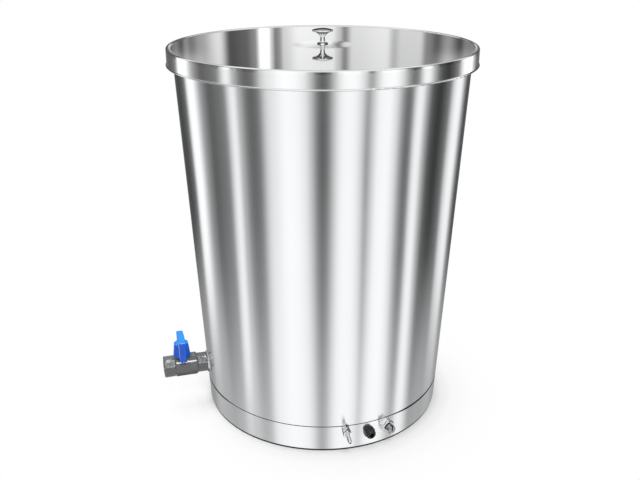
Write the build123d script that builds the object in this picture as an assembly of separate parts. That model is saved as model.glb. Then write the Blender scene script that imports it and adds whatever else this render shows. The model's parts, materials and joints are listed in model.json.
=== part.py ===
from build123d import *
from math import cos, radians, sin, sqrt, tan
import os

# Heated dispensing tank, in millimetres and degrees.
# The origin is on the tank's axis at the floor, +Z is up and the outlet valve points along -X.
# The skirt's fittings face -Y. Their angles are measured from -Y towards +X.

# Tank wall: one straight-sided cone, narrow at the floor
BASE_DIAMETER = 427.4
WALL_LEAN = 2.63
TANK_HEIGHT = 640.2
WALL_SHEET = 1.2

# Base skirt and its rubber foot
FOOT_HEIGHT = 4.0
FOOT_WIDTH = 12.0
FOOT_INSET = 1.0
SKIRT_TOP = 49.1
SEAM_GROOVE = 1.2
JOGGLE_HEIGHT = 6.0
JOGGLE_RAMP = 2.0
PLATE_SHEET = 1.2
PLATE_LAP = 9.0
PLATE_PLAY = 0.6
PLATE_SCREW_COUNT = 6
PLATE_SCREW_DIAMETER = 4.0
PLATE_SCREW_LENGTH = 6.0
PLATE_HEAD_DIAMETER = 7.2
PLATE_HEAD_HEIGHT = 2.0

# Water jacket and inner vessel
FLOOR_PLAY = 0.5
JACKET_FLOOR_SHEET = 1.5
JACKET_FLOOR_LIP = 10.0
JACKET_GAP = 20.0
HEATER_SPACE = 14.5
VESSEL_SHEET = 1.0
VESSEL_FLOOR_FALL = 2.5
RIM_WIRE_DIAMETER = 4.0
RIM_WIRE_PLAY = 0.6
RIM_CURL = 230.0

# Lid
LID_SHEET = 1.0
LID_REST_GAP = 0.3
LID_PLAY = 0.8
LID_SKIRT_HEIGHT = 28.0
LID_LIP_HEIGHT = 1.4
LID_LIP_WIDTH = 5.0
LID_LIP_RAMP = 2.0
LID_LIP_BLEND = 3.0
LID_EDGE_RADIUS = 2.4
LID_HEM_RADIUS = 1.4
LID_BOSS_RADIUS = 32.0
LID_BOSS_RISE = 1.0
LID_BOSS_RAMP = 32.0
LID_BOSS_BLEND = 200.0

# Lid knob, a turned trumpet on a round foot
KNOB_HEIGHT = 24.9
KNOB_HEAD_DIAMETER = 33.0
KNOB_HEAD_EDGE = 2.2
KNOB_CROWN_RISE = 2.6
KNOB_FLARE_HEIGHT = 7.5
KNOB_FLARE_SPREAD = 2.4
KNOB_FLARE_DROP = 2.5
KNOB_NECK_DIAMETER = 7.4
KNOB_FOOT_DIAMETER = 17.5
KNOB_FOOT_HEIGHT = 6.0
KNOB_FOOT_EDGE = 1.6
KNOB_SCREW_DIAMETER = 4.0
KNOB_SCREW_GRIP = 10.0
KNOB_SCREW_HEAD = 8.0
KNOB_SCREW_HEAD_HEIGHT = 2.8
KNOB_WASHER_DIAMETER = 18.0
KNOB_WASHER_THICKNESS = 1.5

# Outlet through the jacket
NIPPLE_DIAMETER = 26.4
NIPPLE_BORE = 20.0
WALL_COLLAR_DIAMETER = 38.0
WALL_COLLAR_THICKNESS = 2.5

# Ball valve
INLET_COLLAR_FLATS = 32.5
INLET_COLLAR_LENGTH = 17.0
INLET_SOCKET_DEPTH = 14.0
VALVE_DIAMETER = 40.0
VALVE_LENGTH = 41.5
STEM_OFFSET = 6.0
VALVE_END_CHAMFER = 2.5
OUTLET_COLLAR_FLATS = 35.5
OUTLET_COLLAR_LENGTH = 19.0
COLLAR_CHAMFER = 1.2
COLLAR_SIDES = 8
OUTLET_SOCKET_BORE = 25.2
OUTLET_SOCKET_DEPTH = 18.5
VALVE_PORT = 18.0
BALL_DIAMETER = 26.0
BALL_ROOM = 1.0
SEAT_LENGTH = 5.0
SEAT_DIAMETER = 25.0
SEAT_PLAY = 0.3
BONNET_DIAMETER = 20.0
BONNET_TOP = 26.0
STEM_DIAMETER = 10.0
STEM_RUNNING_PLAY = 0.05
STEM_SHOULDER_DIAMETER = 13.6
STEM_SHOULDER_HEIGHT = 2.0
STEM_POCKET_PLAY = 0.3
STEM_SQUARE = 7.0
STEM_SQUARE_TOP = 40.0
STEM_TANG_WIDTH = 4.6
STEM_TANG_DEPTH = 3.0
O_RING_SECTION = 1.6
O_RING_HEIGHTS = (18.6, 22.2)

# Valve handle: a tapered eight-sided hub with a thumb fin across it
HANDLE_SIDES = 8
HUB_BOTTOM = 20.8
HUB_TOP = 47.0
HUB_BOTTOM_FLATS = 30.0
HUB_TOP_FLATS = 24.0
HUB_TOP_CHAMFER = 1.8
HUB_SOCKET_ROOM = 1.0
FIN_TOP = 58.0
FIN_REACH = 25.0
FIN_TIP_LENGTH = 3.4
FIN_FRONT_TIP_BOTTOM = 18.1
FIN_BACK_TIP_BOTTOM = 21.5
FIN_UNDERSIDE = 23.5
FIN_THICKNESS = 13.0
FIN_TIP_THICKNESS = 10.8
FIN_TOP_RADIUS = 5.0
FIN_EDGE_RADIUS = 1.2

# Fittings on the skirt
DRAIN_LEVEL = 39.0
GLAND_LEVEL = 30.0
THERMOSTAT_LEVEL = 34.4
DRAIN_ANGLE = -5.4
GLAND_ANGLE = 5.4
THERMOSTAT_ANGLE = 14.1
NUT_SEAT = 0.3
HOLE_PLAY = 0.2
HEX_SIDES = 6
HEX_EASE = 30.0
HEX_FACE_INSET = 0.3

# Jacket drain cock
DRAIN_SHANK_DIAMETER = 9.2
DRAIN_SHANK_LENGTH = 12.0
DRAIN_BORE = 3.6
DRAIN_FLANGE_DIAMETER = 13.0
DRAIN_FLANGE_THICKNESS = 1.0
DRAIN_NECK_DIAMETER = 9.4
DRAIN_NECK_END_DIAMETER = 10.6
DRAIN_NECK_LENGTH = 1.2
DRAIN_SLEEVE_FLATS = 12.4
DRAIN_SLEEVE_LENGTH = 9.0
DRAIN_SLEEVE_GAP = 0.3
DRAIN_CORE_DIAMETER = 8.0
DRAIN_RUNNING_PLAY = 0.05
DRAIN_TAIL_DIAMETER = 5.6
DRAIN_TAIL_LENGTH = 21.0
DRAIN_BARB_HEIGHT = 0.5
DRAIN_BARB_COUNT = 4
DRAIN_SPIGOT_DIAMETER = 5.2
DRAIN_SPIGOT_LENGTH = 2.0
DRAIN_NUT_FLATS = 14.0
DRAIN_NUT_THICKNESS = 4.0
DRAIN_PIPE_DIAMETER = 8.0
DRAIN_PIPE_WALL = 1.0
DRAIN_PIPE_REACH = 14.0
DRAIN_PIPE_BEND = 9.0

# Cable gland
GLAND_THREAD_DIAMETER = 15.2
GLAND_THREAD_LENGTH = 9.0
GLAND_FLATS = 17.0
GLAND_HEX_THICKNESS = 3.0
GLAND_SPIGOT_DIAMETER = 12.8
GLAND_SPIGOT_LENGTH = 4.6
GLAND_CAP_DIAMETER = 16.6
GLAND_CAP_GAP = 0.3
GLAND_CAP_LENGTH = 9.3
GLAND_CAP_DOME = 3.8
GLAND_CAP_FLAT_LENGTH = 3.0
GLAND_CABLE_BORE = 8.0
GLAND_SEAL_DIAMETER = 10.4
GLAND_SEAL_DEPTH = 2.0
GLAND_NUT_FLATS = 20.0
GLAND_NUT_THICKNESS = 4.5

# Thermostat
THERMOSTAT_WASHER_DIAMETER = 26.0
THERMOSTAT_WASHER_THICKNESS = 1.8
THERMOSTAT_NUT_FLATS = 20.0
THERMOSTAT_NUT_THICKNESS = 7.0
THERMOSTAT_BUSH_DIAMETER = 14.0
THERMOSTAT_BUSH_PROUD = 1.5
THERMOSTAT_BOSS_DIAMETER = 18.0
THERMOSTAT_BACK_GAP = 1.0
THERMOSTAT_WIDTH = 34.0
THERMOSTAT_HEIGHT = 26.0
THERMOSTAT_DEPTH = 22.0
THERMOSTAT_EDGE = 2.0
SPINDLE_DIAMETER = 9.0
SPINDLE_RUNNING_PLAY = 0.05
SPINDLE_DEPTH = 8.0
SPINDLE_HEAD_DIAMETER = 14.5
SPINDLE_HEAD_LENGTH = 8.5
SPINDLE_HEAD_GAP = 0.3
SPINDLE_HEAD_CHAMFER = 0.8
SPINDLE_SLOT_WIDTH = 2.6
SPINDLE_SLOT_DEPTH = 7.0
SPINDLE_SLOT_TURN = 90.0
SENSOR_INSET = 11.0
POCKET_DIAMETER = 9.0
POCKET_WALL = 0.9
POCKET_HEIGHT = 62.0
POCKET_FLANGE_DIAMETER = 13.0
POCKET_FLANGE_THICKNESS = 1.5
BULB_DIAMETER = 6.4
BULB_LENGTH = 50.0
CAPILLARY_DIAMETER = 2.0

# Heater in the jacket
HEATER_TUBE_DIAMETER = 8.0
HEATER_STANDOFF = 3.0
HEATER_LOOP_RADIUS = 120.0
HEATER_BEND = 9.5
HEATER_LEG_SPREAD = 26.0
HEATER_LEG_PROUD = 2.0
HEATER_FLANGE_DIAMETER = 66.0
HEATER_FLANGE_THICKNESS = 4.0
HEATER_OPENING = 42.0
HEATER_GASKET_THICKNESS = 1.5
HEATER_STUD_COUNT = 4
HEATER_STUD_TURN = 45.0
HEATER_STUD_DIAMETER = 5.0
HEATER_STUD_PROUD = 6.0
HEATER_NUT_FLATS = 8.0
HEATER_NUT_THICKNESS = 4.0
TERMINAL_BEAD_LENGTH = 5.0
TERMINAL_STUD_DIAMETER = 4.0
TERMINAL_STUD_LENGTH = 8.0
TERMINAL_NUT_FLATS = 7.0
TERMINAL_NUT_THICKNESS = 3.2

# Terminal block and leads in the dry base
BLOCK_LENGTH = 50.0
BLOCK_DEPTH = 18.0
BLOCK_HEIGHT = 16.0
BLOCK_EDGE = 1.5
BLOCK_INSET = 12.0
BLOCK_HOLE_DIAMETER = 3.4
BLOCK_SCREW_DIAMETER = 3.0
BLOCK_SCREW_INSET = 5.0
BLOCK_SCREW_HEAD_DIAMETER = 5.6
BLOCK_SCREW_HEAD_HEIGHT = 2.0
LEAD_DIAMETER = 2.8
LEAD_BEND = 7.0
LEAD_RUN_OUT = 22.0
LEAD_PITCH = 9.0

# Fit of welded and screwed pieces that stay together
WELD_GAP = 0.1
THREAD_GAP = 0.1

# Heights and radii that follow from the sizes above
LEAN_RATIO = tan(radians(WALL_LEAN))
WALL_ACROSS = WALL_SHEET / cos(radians(WALL_LEAN))
VESSEL_ACROSS = VESSEL_SHEET / cos(radians(WALL_LEAN))
VESSEL_INSET = WALL_ACROSS + JACKET_GAP
SHELL_BOTTOM = SKIRT_TOP + SEAM_GROOVE
JOGGLE_TOP = SKIRT_TOP + JOGGLE_HEIGHT
JACKET_FLOOR_BOTTOM = JOGGLE_TOP + FLOOR_PLAY
JACKET_FLOOR_TOP = JACKET_FLOOR_BOTTOM + JACKET_FLOOR_SHEET
VESSEL_INVERT = JACKET_FLOOR_TOP + HEATER_SPACE + VESSEL_SHEET
OUTLET_HEIGHT = VESSEL_INVERT + NIPPLE_BORE / 2
CURL_INNER = RIM_WIRE_DIAMETER / 2 + RIM_WIRE_PLAY
CURL_OUTER = CURL_INNER + VESSEL_SHEET
CURL_HEIGHT = TANK_HEIGHT - CURL_OUTER


def wall_radius(height, inset=0.0):
    """Radius of the cone that lies this far inside the wall's outer face."""
    return BASE_DIAMETER / 2 + height * LEAN_RATIO - inset


CURL_RADIUS = wall_radius(TANK_HEIGHT) + CURL_OUTER + WELD_GAP
LID_INNER_RADIUS = CURL_RADIUS + CURL_OUTER + LID_PLAY
LID_RADIUS = LID_INNER_RADIUS + LID_SHEET
LID_UNDERSIDE = TANK_HEIGHT + LID_REST_GAP
LID_TOP = LID_UNDERSIDE + LID_SHEET
LID_LIP_TOP = LID_TOP + LID_LIP_HEIGHT
LID_SKIRT_BOTTOM = LID_LIP_TOP - LID_SKIRT_HEIGHT
KNOB_SEAT = LID_TOP + LID_BOSS_RISE
FOOT_OUTER = wall_radius(0) - FOOT_INSET
FOOT_INNER = FOOT_OUTER - FOOT_WIDTH
PLATE_RADIUS = FOOT_INNER - PLATE_PLAY
PLATE_BOTTOM = FOOT_HEIGHT - PLATE_SHEET
FLANGE_INNER = PLATE_RADIUS - PLATE_LAP
BLOCK_FRONT = sqrt((FLANGE_INNER - BLOCK_INSET) ** 2 - (BLOCK_LENGTH / 2) ** 2)
BLOCK_RADIUS = BLOCK_FRONT - BLOCK_DEPTH / 2

# Places along the outlet, measured outwards from the tank's axis or from the valve's inlet face
VALVE_FACE = wall_radius(OUTLET_HEIGHT) + WALL_COLLAR_THICKNESS
VALVE_END = INLET_COLLAR_LENGTH + VALVE_LENGTH
OUTLET_END = VALVE_END + OUTLET_COLLAR_LENGTH
BALL_PLACE = INLET_COLLAR_LENGTH + VALVE_LENGTH / 2 + STEM_OFFSET
BALL_RADIUS = BALL_DIAMETER / 2
CAVITY_RADIUS = BALL_RADIUS + BALL_ROOM
SEAT_REACH = BALL_RADIUS + SEAT_PLAY
STEM_POCKET_TOP = CAVITY_RADIUS + STEM_SHOULDER_HEIGHT

# Frames: each has its own Z along the axis of what is built in it
OUTLET = Plane(origin=(0, 0, OUTLET_HEIGHT), x_dir=(0, -1, 0), z_dir=(-1, 0, 0))
VALVE = Plane(origin=(-VALVE_FACE, 0, OUTLET_HEIGHT), x_dir=(0, -1, 0), z_dir=(-1, 0, 0))
STEM = Plane(origin=(-VALVE_FACE - BALL_PLACE, 0, OUTLET_HEIGHT))


def wall_station(angle, height):
    """Frame on the skirt's outer face, with Z square to the wall and Y up along it."""
    turn = radians(angle)
    lean = radians(WALL_LEAN)
    radius = wall_radius(height)
    place = (radius * sin(turn), -radius * cos(turn), height)
    outwards = (sin(turn) * cos(lean), -cos(turn) * cos(lean), -sin(lean))
    return Plane(origin=place, x_dir=(cos(turn), sin(turn), 0), z_dir=outwards)


DRAIN = wall_station(DRAIN_ANGLE, DRAIN_LEVEL)
GLAND = wall_station(GLAND_ANGLE, GLAND_LEVEL)
THERMOSTAT = wall_station(THERMOSTAT_ANGLE, THERMOSTAT_LEVEL)


# Basic forms, each along the Z of the frame that it is placed in
STANDING = (Align.CENTER, Align.CENTER, Align.MIN)


def rod(diameter, start, end):
    """Round bar from one height to another."""
    return Pos(0, 0, start) * Cylinder(diameter / 2, end - start, align=STANDING)


def tube(diameter, bore, start, end):
    """Round bar with a bore right through."""
    return rod(diameter, start, end) - rod(bore, start, end)


def prism(sides, across_flats, start, end):
    """Bar with a regular outline, with flats above and below where the count allows."""
    turn = 180 / sides
    outline = RegularPolygon(across_flats / 2, sides, major_radius=False, rotation=turn)
    return extrude(Pos(0, 0, start) * outline, end - start)


def eased_hexagon(flats, start, end):
    """Hexagon bar whose corners are turned off at its outer end."""
    face = flats / 2 - HEX_FACE_INSET
    reach = flats / 2 / cos(radians(180 / HEX_SIDES)) + HEX_FACE_INSET
    drop = (reach - face) * tan(radians(HEX_EASE))
    eased = turned([(0, start), (reach, start), (reach, end - drop), (face, end), (0, end)])
    return prism(HEX_SIDES, flats, start, end) & eased


def turned(points):
    """Solid of revolution about Z from the corners of its half outline."""
    outline = Polyline(*points, close=True)
    return revolve(Plane.XZ * make_face(outline.edges()), Axis.Z)


def cone_bar(low, high, inset=0.0):
    """Solid cone inside the tank's wall, between two heights."""
    return turned([
        (0, low),
        (wall_radius(low, inset), low),
        (wall_radius(high, inset), high),
        (0, high),
    ])


def cone_wall(low, high, inset, thickness):
    """Band that follows the tank's wall, between two heights."""
    return turned([
        (wall_radius(low, inset), low),
        (wall_radius(high, inset), high),
        (wall_radius(high, inset + thickness), high),
        (wall_radius(low, inset + thickness), low),
    ])


def lead_along(points, radius):
    """Round lead along straight runs joined by arcs."""
    route = FilletPolyline(*points, radius=radius)
    section = Plane(origin=route @ 0, z_dir=route % 0) * Circle(LEAD_DIAMETER / 2)
    return sweep(section, path=route)


# Tank

def outer_shell():
    wall = cone_wall(SHELL_BOTTOM, TANK_HEIGHT - VESSEL_SHEET, 0, WALL_ACROSS)
    return wall - OUTLET * rod(NIPPLE_DIAMETER + 2 * WELD_GAP, JACKET_GAP, VALVE_FACE)


def base_skirt():
    """Band with its top stepped in to sit inside the shell, and its foot turned in."""
    step = WALL_ACROSS + WELD_GAP
    inner = 2 * WALL_ACROSS + WELD_GAP
    flange_top = FOOT_HEIGHT + WALL_SHEET
    ramp_low = SKIRT_TOP - JOGGLE_RAMP
    band = turned([
        (FLANGE_INNER, FOOT_HEIGHT),
        (wall_radius(FOOT_HEIGHT), FOOT_HEIGHT),
        (wall_radius(SKIRT_TOP), SKIRT_TOP),
        (wall_radius(SKIRT_TOP, step), SKIRT_TOP),
        (wall_radius(JOGGLE_TOP, step), JOGGLE_TOP),
        (wall_radius(JOGGLE_TOP, inner), JOGGLE_TOP),
        (wall_radius(SKIRT_TOP, inner), SKIRT_TOP),
        (wall_radius(ramp_low, WALL_ACROSS), ramp_low),
        (wall_radius(flange_top, WALL_ACROSS), flange_top),
        (FLANGE_INNER, flange_top),
    ])
    reach = DRAIN_SHANK_LENGTH
    band -= DRAIN * rod(DRAIN_SHANK_DIAMETER + 2 * HOLE_PLAY, -reach, reach)
    band -= GLAND * rod(GLAND_THREAD_DIAMETER + 2 * HOLE_PLAY, -reach, reach)
    band -= THERMOSTAT * rod(THERMOSTAT_BUSH_DIAMETER + 2 * HOLE_PLAY, -reach, reach)
    for place in plate_screw_places():
        band -= place * rod(PLATE_SCREW_DIAMETER + 2 * THREAD_GAP, 0, flange_top)
    return band


def foot_ring():
    return tube(2 * FOOT_OUTER, 2 * FOOT_INNER, 0, FOOT_HEIGHT)


def plate_screw_places():
    return PolarLocations(PLATE_RADIUS - PLATE_LAP / 2, PLATE_SCREW_COUNT)


def base_plate():
    plate = rod(2 * PLATE_RADIUS, PLATE_BOTTOM, FOOT_HEIGHT)
    for place in plate_screw_places():
        plate -= place * rod(PLATE_SCREW_DIAMETER + 2 * HOLE_PLAY, 0, FOOT_HEIGHT)
    for place in block_screw_places():
        plate -= place * rod(BLOCK_SCREW_DIAMETER + 2 * THREAD_GAP, 0, FOOT_HEIGHT)
    return plate


def base_plate_screws():
    head_bottom = PLATE_BOTTOM - PLATE_HEAD_HEIGHT
    shank_top = PLATE_BOTTOM + PLATE_SCREW_LENGTH
    screw = rod(PLATE_HEAD_DIAMETER, head_bottom, PLATE_BOTTOM)
    screw += rod(PLATE_SCREW_DIAMETER, head_bottom, shank_top)
    return Compound([place * screw for place in plate_screw_places()])


def jacket_floor():
    """Shallow pan welded into the shell, with the heater's opening, drain and sensor holes."""
    inset = WALL_ACROSS + WELD_GAP
    lip_top = JACKET_FLOOR_BOTTOM + JACKET_FLOOR_LIP
    pan = turned([
        (0, JACKET_FLOOR_BOTTOM),
        (wall_radius(JACKET_FLOOR_BOTTOM, inset), JACKET_FLOOR_BOTTOM),
        (wall_radius(lip_top, inset), lip_top),
        (wall_radius(lip_top, inset + JACKET_FLOOR_SHEET), lip_top),
        (wall_radius(JACKET_FLOOR_TOP, inset + JACKET_FLOOR_SHEET), JACKET_FLOOR_TOP),
        (0, JACKET_FLOOR_TOP),
    ])
    pan -= heater_place() * rod(HEATER_OPENING, JACKET_FLOOR_BOTTOM, JACKET_FLOOR_TOP)
    pan -= drain_riser(DRAIN_PIPE_DIAMETER + 2 * WELD_GAP)
    pan -= sensor_place() * rod(POCKET_DIAMETER + 2 * WELD_GAP, 0, POCKET_HEIGHT)
    return pan


def floor_plane(below):
    """Plane of the vessel floor's upper face, which falls to the outlet, or one parallel below it."""
    fall = radians(VESSEL_FLOOR_FALL)
    edge = wall_radius(VESSEL_INVERT, VESSEL_INSET + VESSEL_ACROSS)
    plane = Plane(
        origin=(-edge, 0, VESSEL_INVERT),
        x_dir=(cos(fall), 0, sin(fall)),
        z_dir=(-sin(fall), 0, cos(fall)),
    )
    return plane.offset(-below)


def vessel_rim():
    """Flange over the jacket whose edge is rolled round the rim wire."""
    inner = wall_radius(TANK_HEIGHT, VESSEL_INSET + VESSEL_ACROSS)
    under = TANK_HEIGHT - VESSEL_SHEET
    middle = (CURL_RADIUS, CURL_HEIGHT)
    top = Line((inner, TANK_HEIGHT), (CURL_RADIUS, TANK_HEIGHT))
    outside = CenterArc(middle, CURL_OUTER, 90, -RIM_CURL)
    inside = CenterArc(middle, CURL_INNER, 90, -RIM_CURL)
    bottom = Line((CURL_RADIUS, under), (inner, under))
    ends = [Line(outside @ 1, inside @ 1), Line((inner, under), (inner, TANK_HEIGHT))]
    outline = [top, outside, inside, bottom] + ends
    return revolve(Plane.XZ * make_face([line.edge() for line in outline]), Axis.Z)


def inner_vessel():
    """Open cone with a rolled rim, cut off along the sloping floor."""
    wall = cone_wall(0, TANK_HEIGHT, VESSEL_INSET, VESSEL_ACROSS)
    vessel = split(wall, floor_plane(VESSEL_SHEET)) + vessel_rim()
    return vessel - OUTLET * rod(NIPPLE_DIAMETER + 2 * WELD_GAP, JACKET_GAP, VALVE_FACE)


def vessel_floor():
    """Sloping disc welded into the foot of the vessel's wall."""
    disc = cone_bar(0, TANK_HEIGHT, VESSEL_INSET + VESSEL_ACROSS + WELD_GAP)
    disc = split(disc, floor_plane(VESSEL_SHEET))
    return split(disc, floor_plane(0), keep=Keep.BOTTOM)


def rim_wire():
    return Pos(0, 0, CURL_HEIGHT) * Torus(CURL_RADIUS, RIM_WIRE_DIAMETER / 2)


# Lid and knob

def lid():
    """Pressed sheet: a soft boss under the knob, a low raised edge and a hemmed skirt."""
    ramp = LID_BOSS_RAMP / 2
    lip_start = LID_RADIUS - LID_LIP_WIDTH
    top_line = FilletPolyline(
        (0, KNOB_SEAT),
        (LID_BOSS_RADIUS - ramp, KNOB_SEAT),
        (LID_BOSS_RADIUS + ramp, LID_TOP),
        (lip_start - LID_LIP_RAMP, LID_TOP),
        (lip_start, LID_LIP_TOP),
        (LID_RADIUS, LID_LIP_TOP),
        (LID_RADIUS, LID_SKIRT_BOTTOM),
        radius=[LID_BOSS_BLEND] * 2 + [LID_LIP_BLEND] * 2 + [LID_EDGE_RADIUS],
    )
    section = make_face(offset(top_line, LID_SHEET, side=Side.RIGHT).edges())
    hem_place = Pos(LID_RADIUS, LID_SKIRT_BOTTOM + LID_HEM_RADIUS)
    hem = hem_place * Circle(LID_HEM_RADIUS)
    pressed = revolve(Plane.XZ * section, Axis.Z) + revolve(Plane.XZ * hem, Axis.Z)
    return pressed - rod(KNOB_SCREW_DIAMETER + 2 * HOLE_PLAY, LID_UNDERSIDE, KNOB_SEAT)


def lid_knob():
    """Turned knob: a trumpet foot, a slim neck, a wide flare and a shallow crown."""
    foot = KNOB_FOOT_DIAMETER / 2
    neck = KNOB_NECK_DIAMETER / 2
    head = KNOB_HEAD_DIAMETER / 2
    crown = KNOB_HEIGHT - KNOB_CROWN_RISE
    edge = crown - KNOB_HEAD_EDGE
    flare = edge - KNOB_FLARE_HEIGHT
    waist = (KNOB_FOOT_HEIGHT + flare) / 2
    rim_swell = (head + KNOB_HEAD_EDGE / 4, (edge + crown) / 2)
    foot_pull = (neck, KNOB_FOOT_EDGE)
    head_pull = (neck + KNOB_FLARE_SPREAD, edge - KNOB_FLARE_DROP)
    lines = [
        Line((0, 0), (foot, 0)),
        Line((foot, 0), (foot, KNOB_FOOT_EDGE)),
        Bezier((foot, KNOB_FOOT_EDGE), foot_pull, (neck, KNOB_FOOT_HEIGHT), (neck, waist)),
        Bezier((neck, waist), (neck, flare), head_pull, (head, edge)),
        ThreePointArc((head, edge), rim_swell, (head, crown)),
        Bezier((head, crown), (head / 2, KNOB_HEIGHT), (0, KNOB_HEIGHT)),
        Line((0, KNOB_HEIGHT), (0, 0)),
    ]
    knob = revolve(Plane.XZ * make_face([line.edge() for line in lines]), Axis.Z)
    knob -= rod(KNOB_SCREW_DIAMETER + 2 * THREAD_GAP, 0, KNOB_SCREW_GRIP + THREAD_GAP)
    return Pos(0, 0, KNOB_SEAT) * knob


def knob_washer():
    top = KNOB_SEAT - LID_SHEET
    bore = KNOB_SCREW_DIAMETER + 2 * HOLE_PLAY
    return tube(KNOB_WASHER_DIAMETER, bore, top - KNOB_WASHER_THICKNESS, top)


def knob_screw():
    head_top = KNOB_SEAT - LID_SHEET - KNOB_WASHER_THICKNESS
    head_bottom = head_top - KNOB_SCREW_HEAD_HEIGHT
    head = rod(KNOB_SCREW_HEAD, head_bottom, head_top)
    head = fillet(head.edges().sort_by(Axis.Z)[0], KNOB_SCREW_HEAD_HEIGHT / 2)
    return head + rod(KNOB_SCREW_DIAMETER, head_bottom, KNOB_SEAT + KNOB_SCREW_GRIP)


# Outlet and ball valve

def outlet_nipple():
    """Welded pipe from the vessel's wall, through the jacket and the shell, into the valve."""
    end = VALVE_FACE + INLET_SOCKET_DEPTH
    pipe = OUTLET * tube(NIPPLE_DIAMETER, NIPPLE_BORE, JACKET_GAP, end)
    return pipe - cone_bar(0, TANK_HEIGHT, VESSEL_INSET + VESSEL_ACROSS)


def wall_collar():
    """Ring round the nipple, shaped to the wall on its inner face."""
    bore = NIPPLE_DIAMETER + 2 * WELD_GAP
    ring = OUTLET * tube(WALL_COLLAR_DIAMETER, bore, VALVE_FACE / 2, VALVE_FACE)
    return ring - cone_bar(0, TANK_HEIGHT)


def collar(flats, start, end, chamfered):
    """Eight-sided spanner collar with its chosen end face eased."""
    bar = prism(COLLAR_SIDES, flats, start, end)
    return chamfer(bar.faces().sort_by(Axis.Z)[chamfered].edges(), COLLAR_CHAMFER)


def valve_body():
    barrel = rod(VALVE_DIAMETER, INLET_COLLAR_LENGTH, VALVE_END)
    barrel = chamfer(barrel.edges().filter_by(GeomType.CIRCLE), VALVE_END_CHAMFER)
    body = VALVE * (barrel + collar(INLET_COLLAR_FLATS, 0, INLET_COLLAR_LENGTH, 0))
    body += STEM * rod(BONNET_DIAMETER, 0, BONNET_TOP)
    socket = NIPPLE_DIAMETER + 2 * THREAD_GAP
    body -= VALVE * rod(socket, 0, INLET_SOCKET_DEPTH + THREAD_GAP)
    body -= VALVE * rod(VALVE_PORT, 0, VALVE_END)
    body -= VALVE * rod(2 * CAVITY_RADIUS, BALL_PLACE - SEAT_REACH, VALVE_END)
    body -= STEM * rod(STEM_DIAMETER + 2 * STEM_RUNNING_PLAY, 0, BONNET_TOP)
    pocket = STEM_SHOULDER_DIAMETER + 2 * STEM_POCKET_PLAY
    return body - STEM * rod(pocket, 0, STEM_POCKET_TOP + STEM_POCKET_PLAY)


def valve_end_connector():
    """Screwed-in end piece that holds the outer seat and carries the outlet socket."""
    spigot = rod(2 * (CAVITY_RADIUS - THREAD_GAP), BALL_PLACE + SEAT_REACH, VALVE_END)
    piece = spigot + collar(OUTLET_COLLAR_FLATS, VALVE_END, OUTLET_END, -1)
    piece -= rod(VALVE_PORT, 0, OUTLET_END)
    piece -= rod(OUTLET_SOCKET_BORE, OUTLET_END - OUTLET_SOCKET_DEPTH, OUTLET_END)
    return VALVE * piece


def ball_seats():
    """Two soft rings with hollow faces that follow the ball."""
    ball_room = Pos(0, 0, BALL_PLACE) * Sphere(SEAT_REACH)
    low = BALL_PLACE - SEAT_REACH
    high = BALL_PLACE + SEAT_REACH
    inlet = tube(SEAT_DIAMETER, VALVE_PORT, low, low + SEAT_LENGTH) - ball_room
    outlet = tube(SEAT_DIAMETER, VALVE_PORT, high - SEAT_LENGTH, high) - ball_room
    return VALVE * Compound([inlet.solid(), outlet.solid()])


def valve_ball():
    """Ball at rest with its port across the flow, and a slot on top for the stem."""
    tang_bottom = BALL_RADIUS - STEM_TANG_DEPTH
    ball = Sphere(BALL_RADIUS)
    ball -= Plane.XZ * Pos(0, 0, -BALL_RADIUS) * rod(VALVE_PORT, 0, BALL_DIAMETER)
    slot = STEM_TANG_WIDTH + 2 * THREAD_GAP
    ball -= Pos(0, 0, tang_bottom) * Box(BALL_DIAMETER, slot, BALL_DIAMETER, align=STANDING)
    return STEM * ball


def valve_stem():
    """Stem with a trapped shoulder, O-ring grooves, a square for the handle and a flat tang."""
    shoulder_bottom = STEM_POCKET_TOP - STEM_SHOULDER_HEIGHT
    tang_bottom = BALL_RADIUS - STEM_TANG_DEPTH + THREAD_GAP
    stem = rod(STEM_DIAMETER, shoulder_bottom, BONNET_TOP)
    stem += rod(STEM_SHOULDER_DIAMETER, shoulder_bottom, STEM_POCKET_TOP)
    square_height = STEM_SQUARE_TOP - BONNET_TOP
    square = Box(STEM_SQUARE, STEM_SQUARE, square_height, align=STANDING)
    stem += Pos(0, 0, BONNET_TOP) * square
    tang = Box(STEM_DIAMETER, STEM_TANG_WIDTH, shoulder_bottom - tang_bottom, align=STANDING)
    stem += Pos(0, 0, tang_bottom) * tang
    groove_bore = STEM_DIAMETER - 2 * O_RING_SECTION - 2 * THREAD_GAP
    for height in O_RING_HEIGHTS:
        low = height - O_RING_SECTION / 2 - THREAD_GAP
        high = height + O_RING_SECTION / 2 + THREAD_GAP
        stem -= tube(2 * STEM_DIAMETER, groove_bore, low, high)
    return STEM * stem


def stem_o_rings():
    ring = Torus(STEM_DIAMETER / 2 - O_RING_SECTION / 2, O_RING_SECTION / 2)
    return STEM * Compound([Pos(0, 0, height) * ring.solid() for height in O_RING_HEIGHTS])


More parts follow.
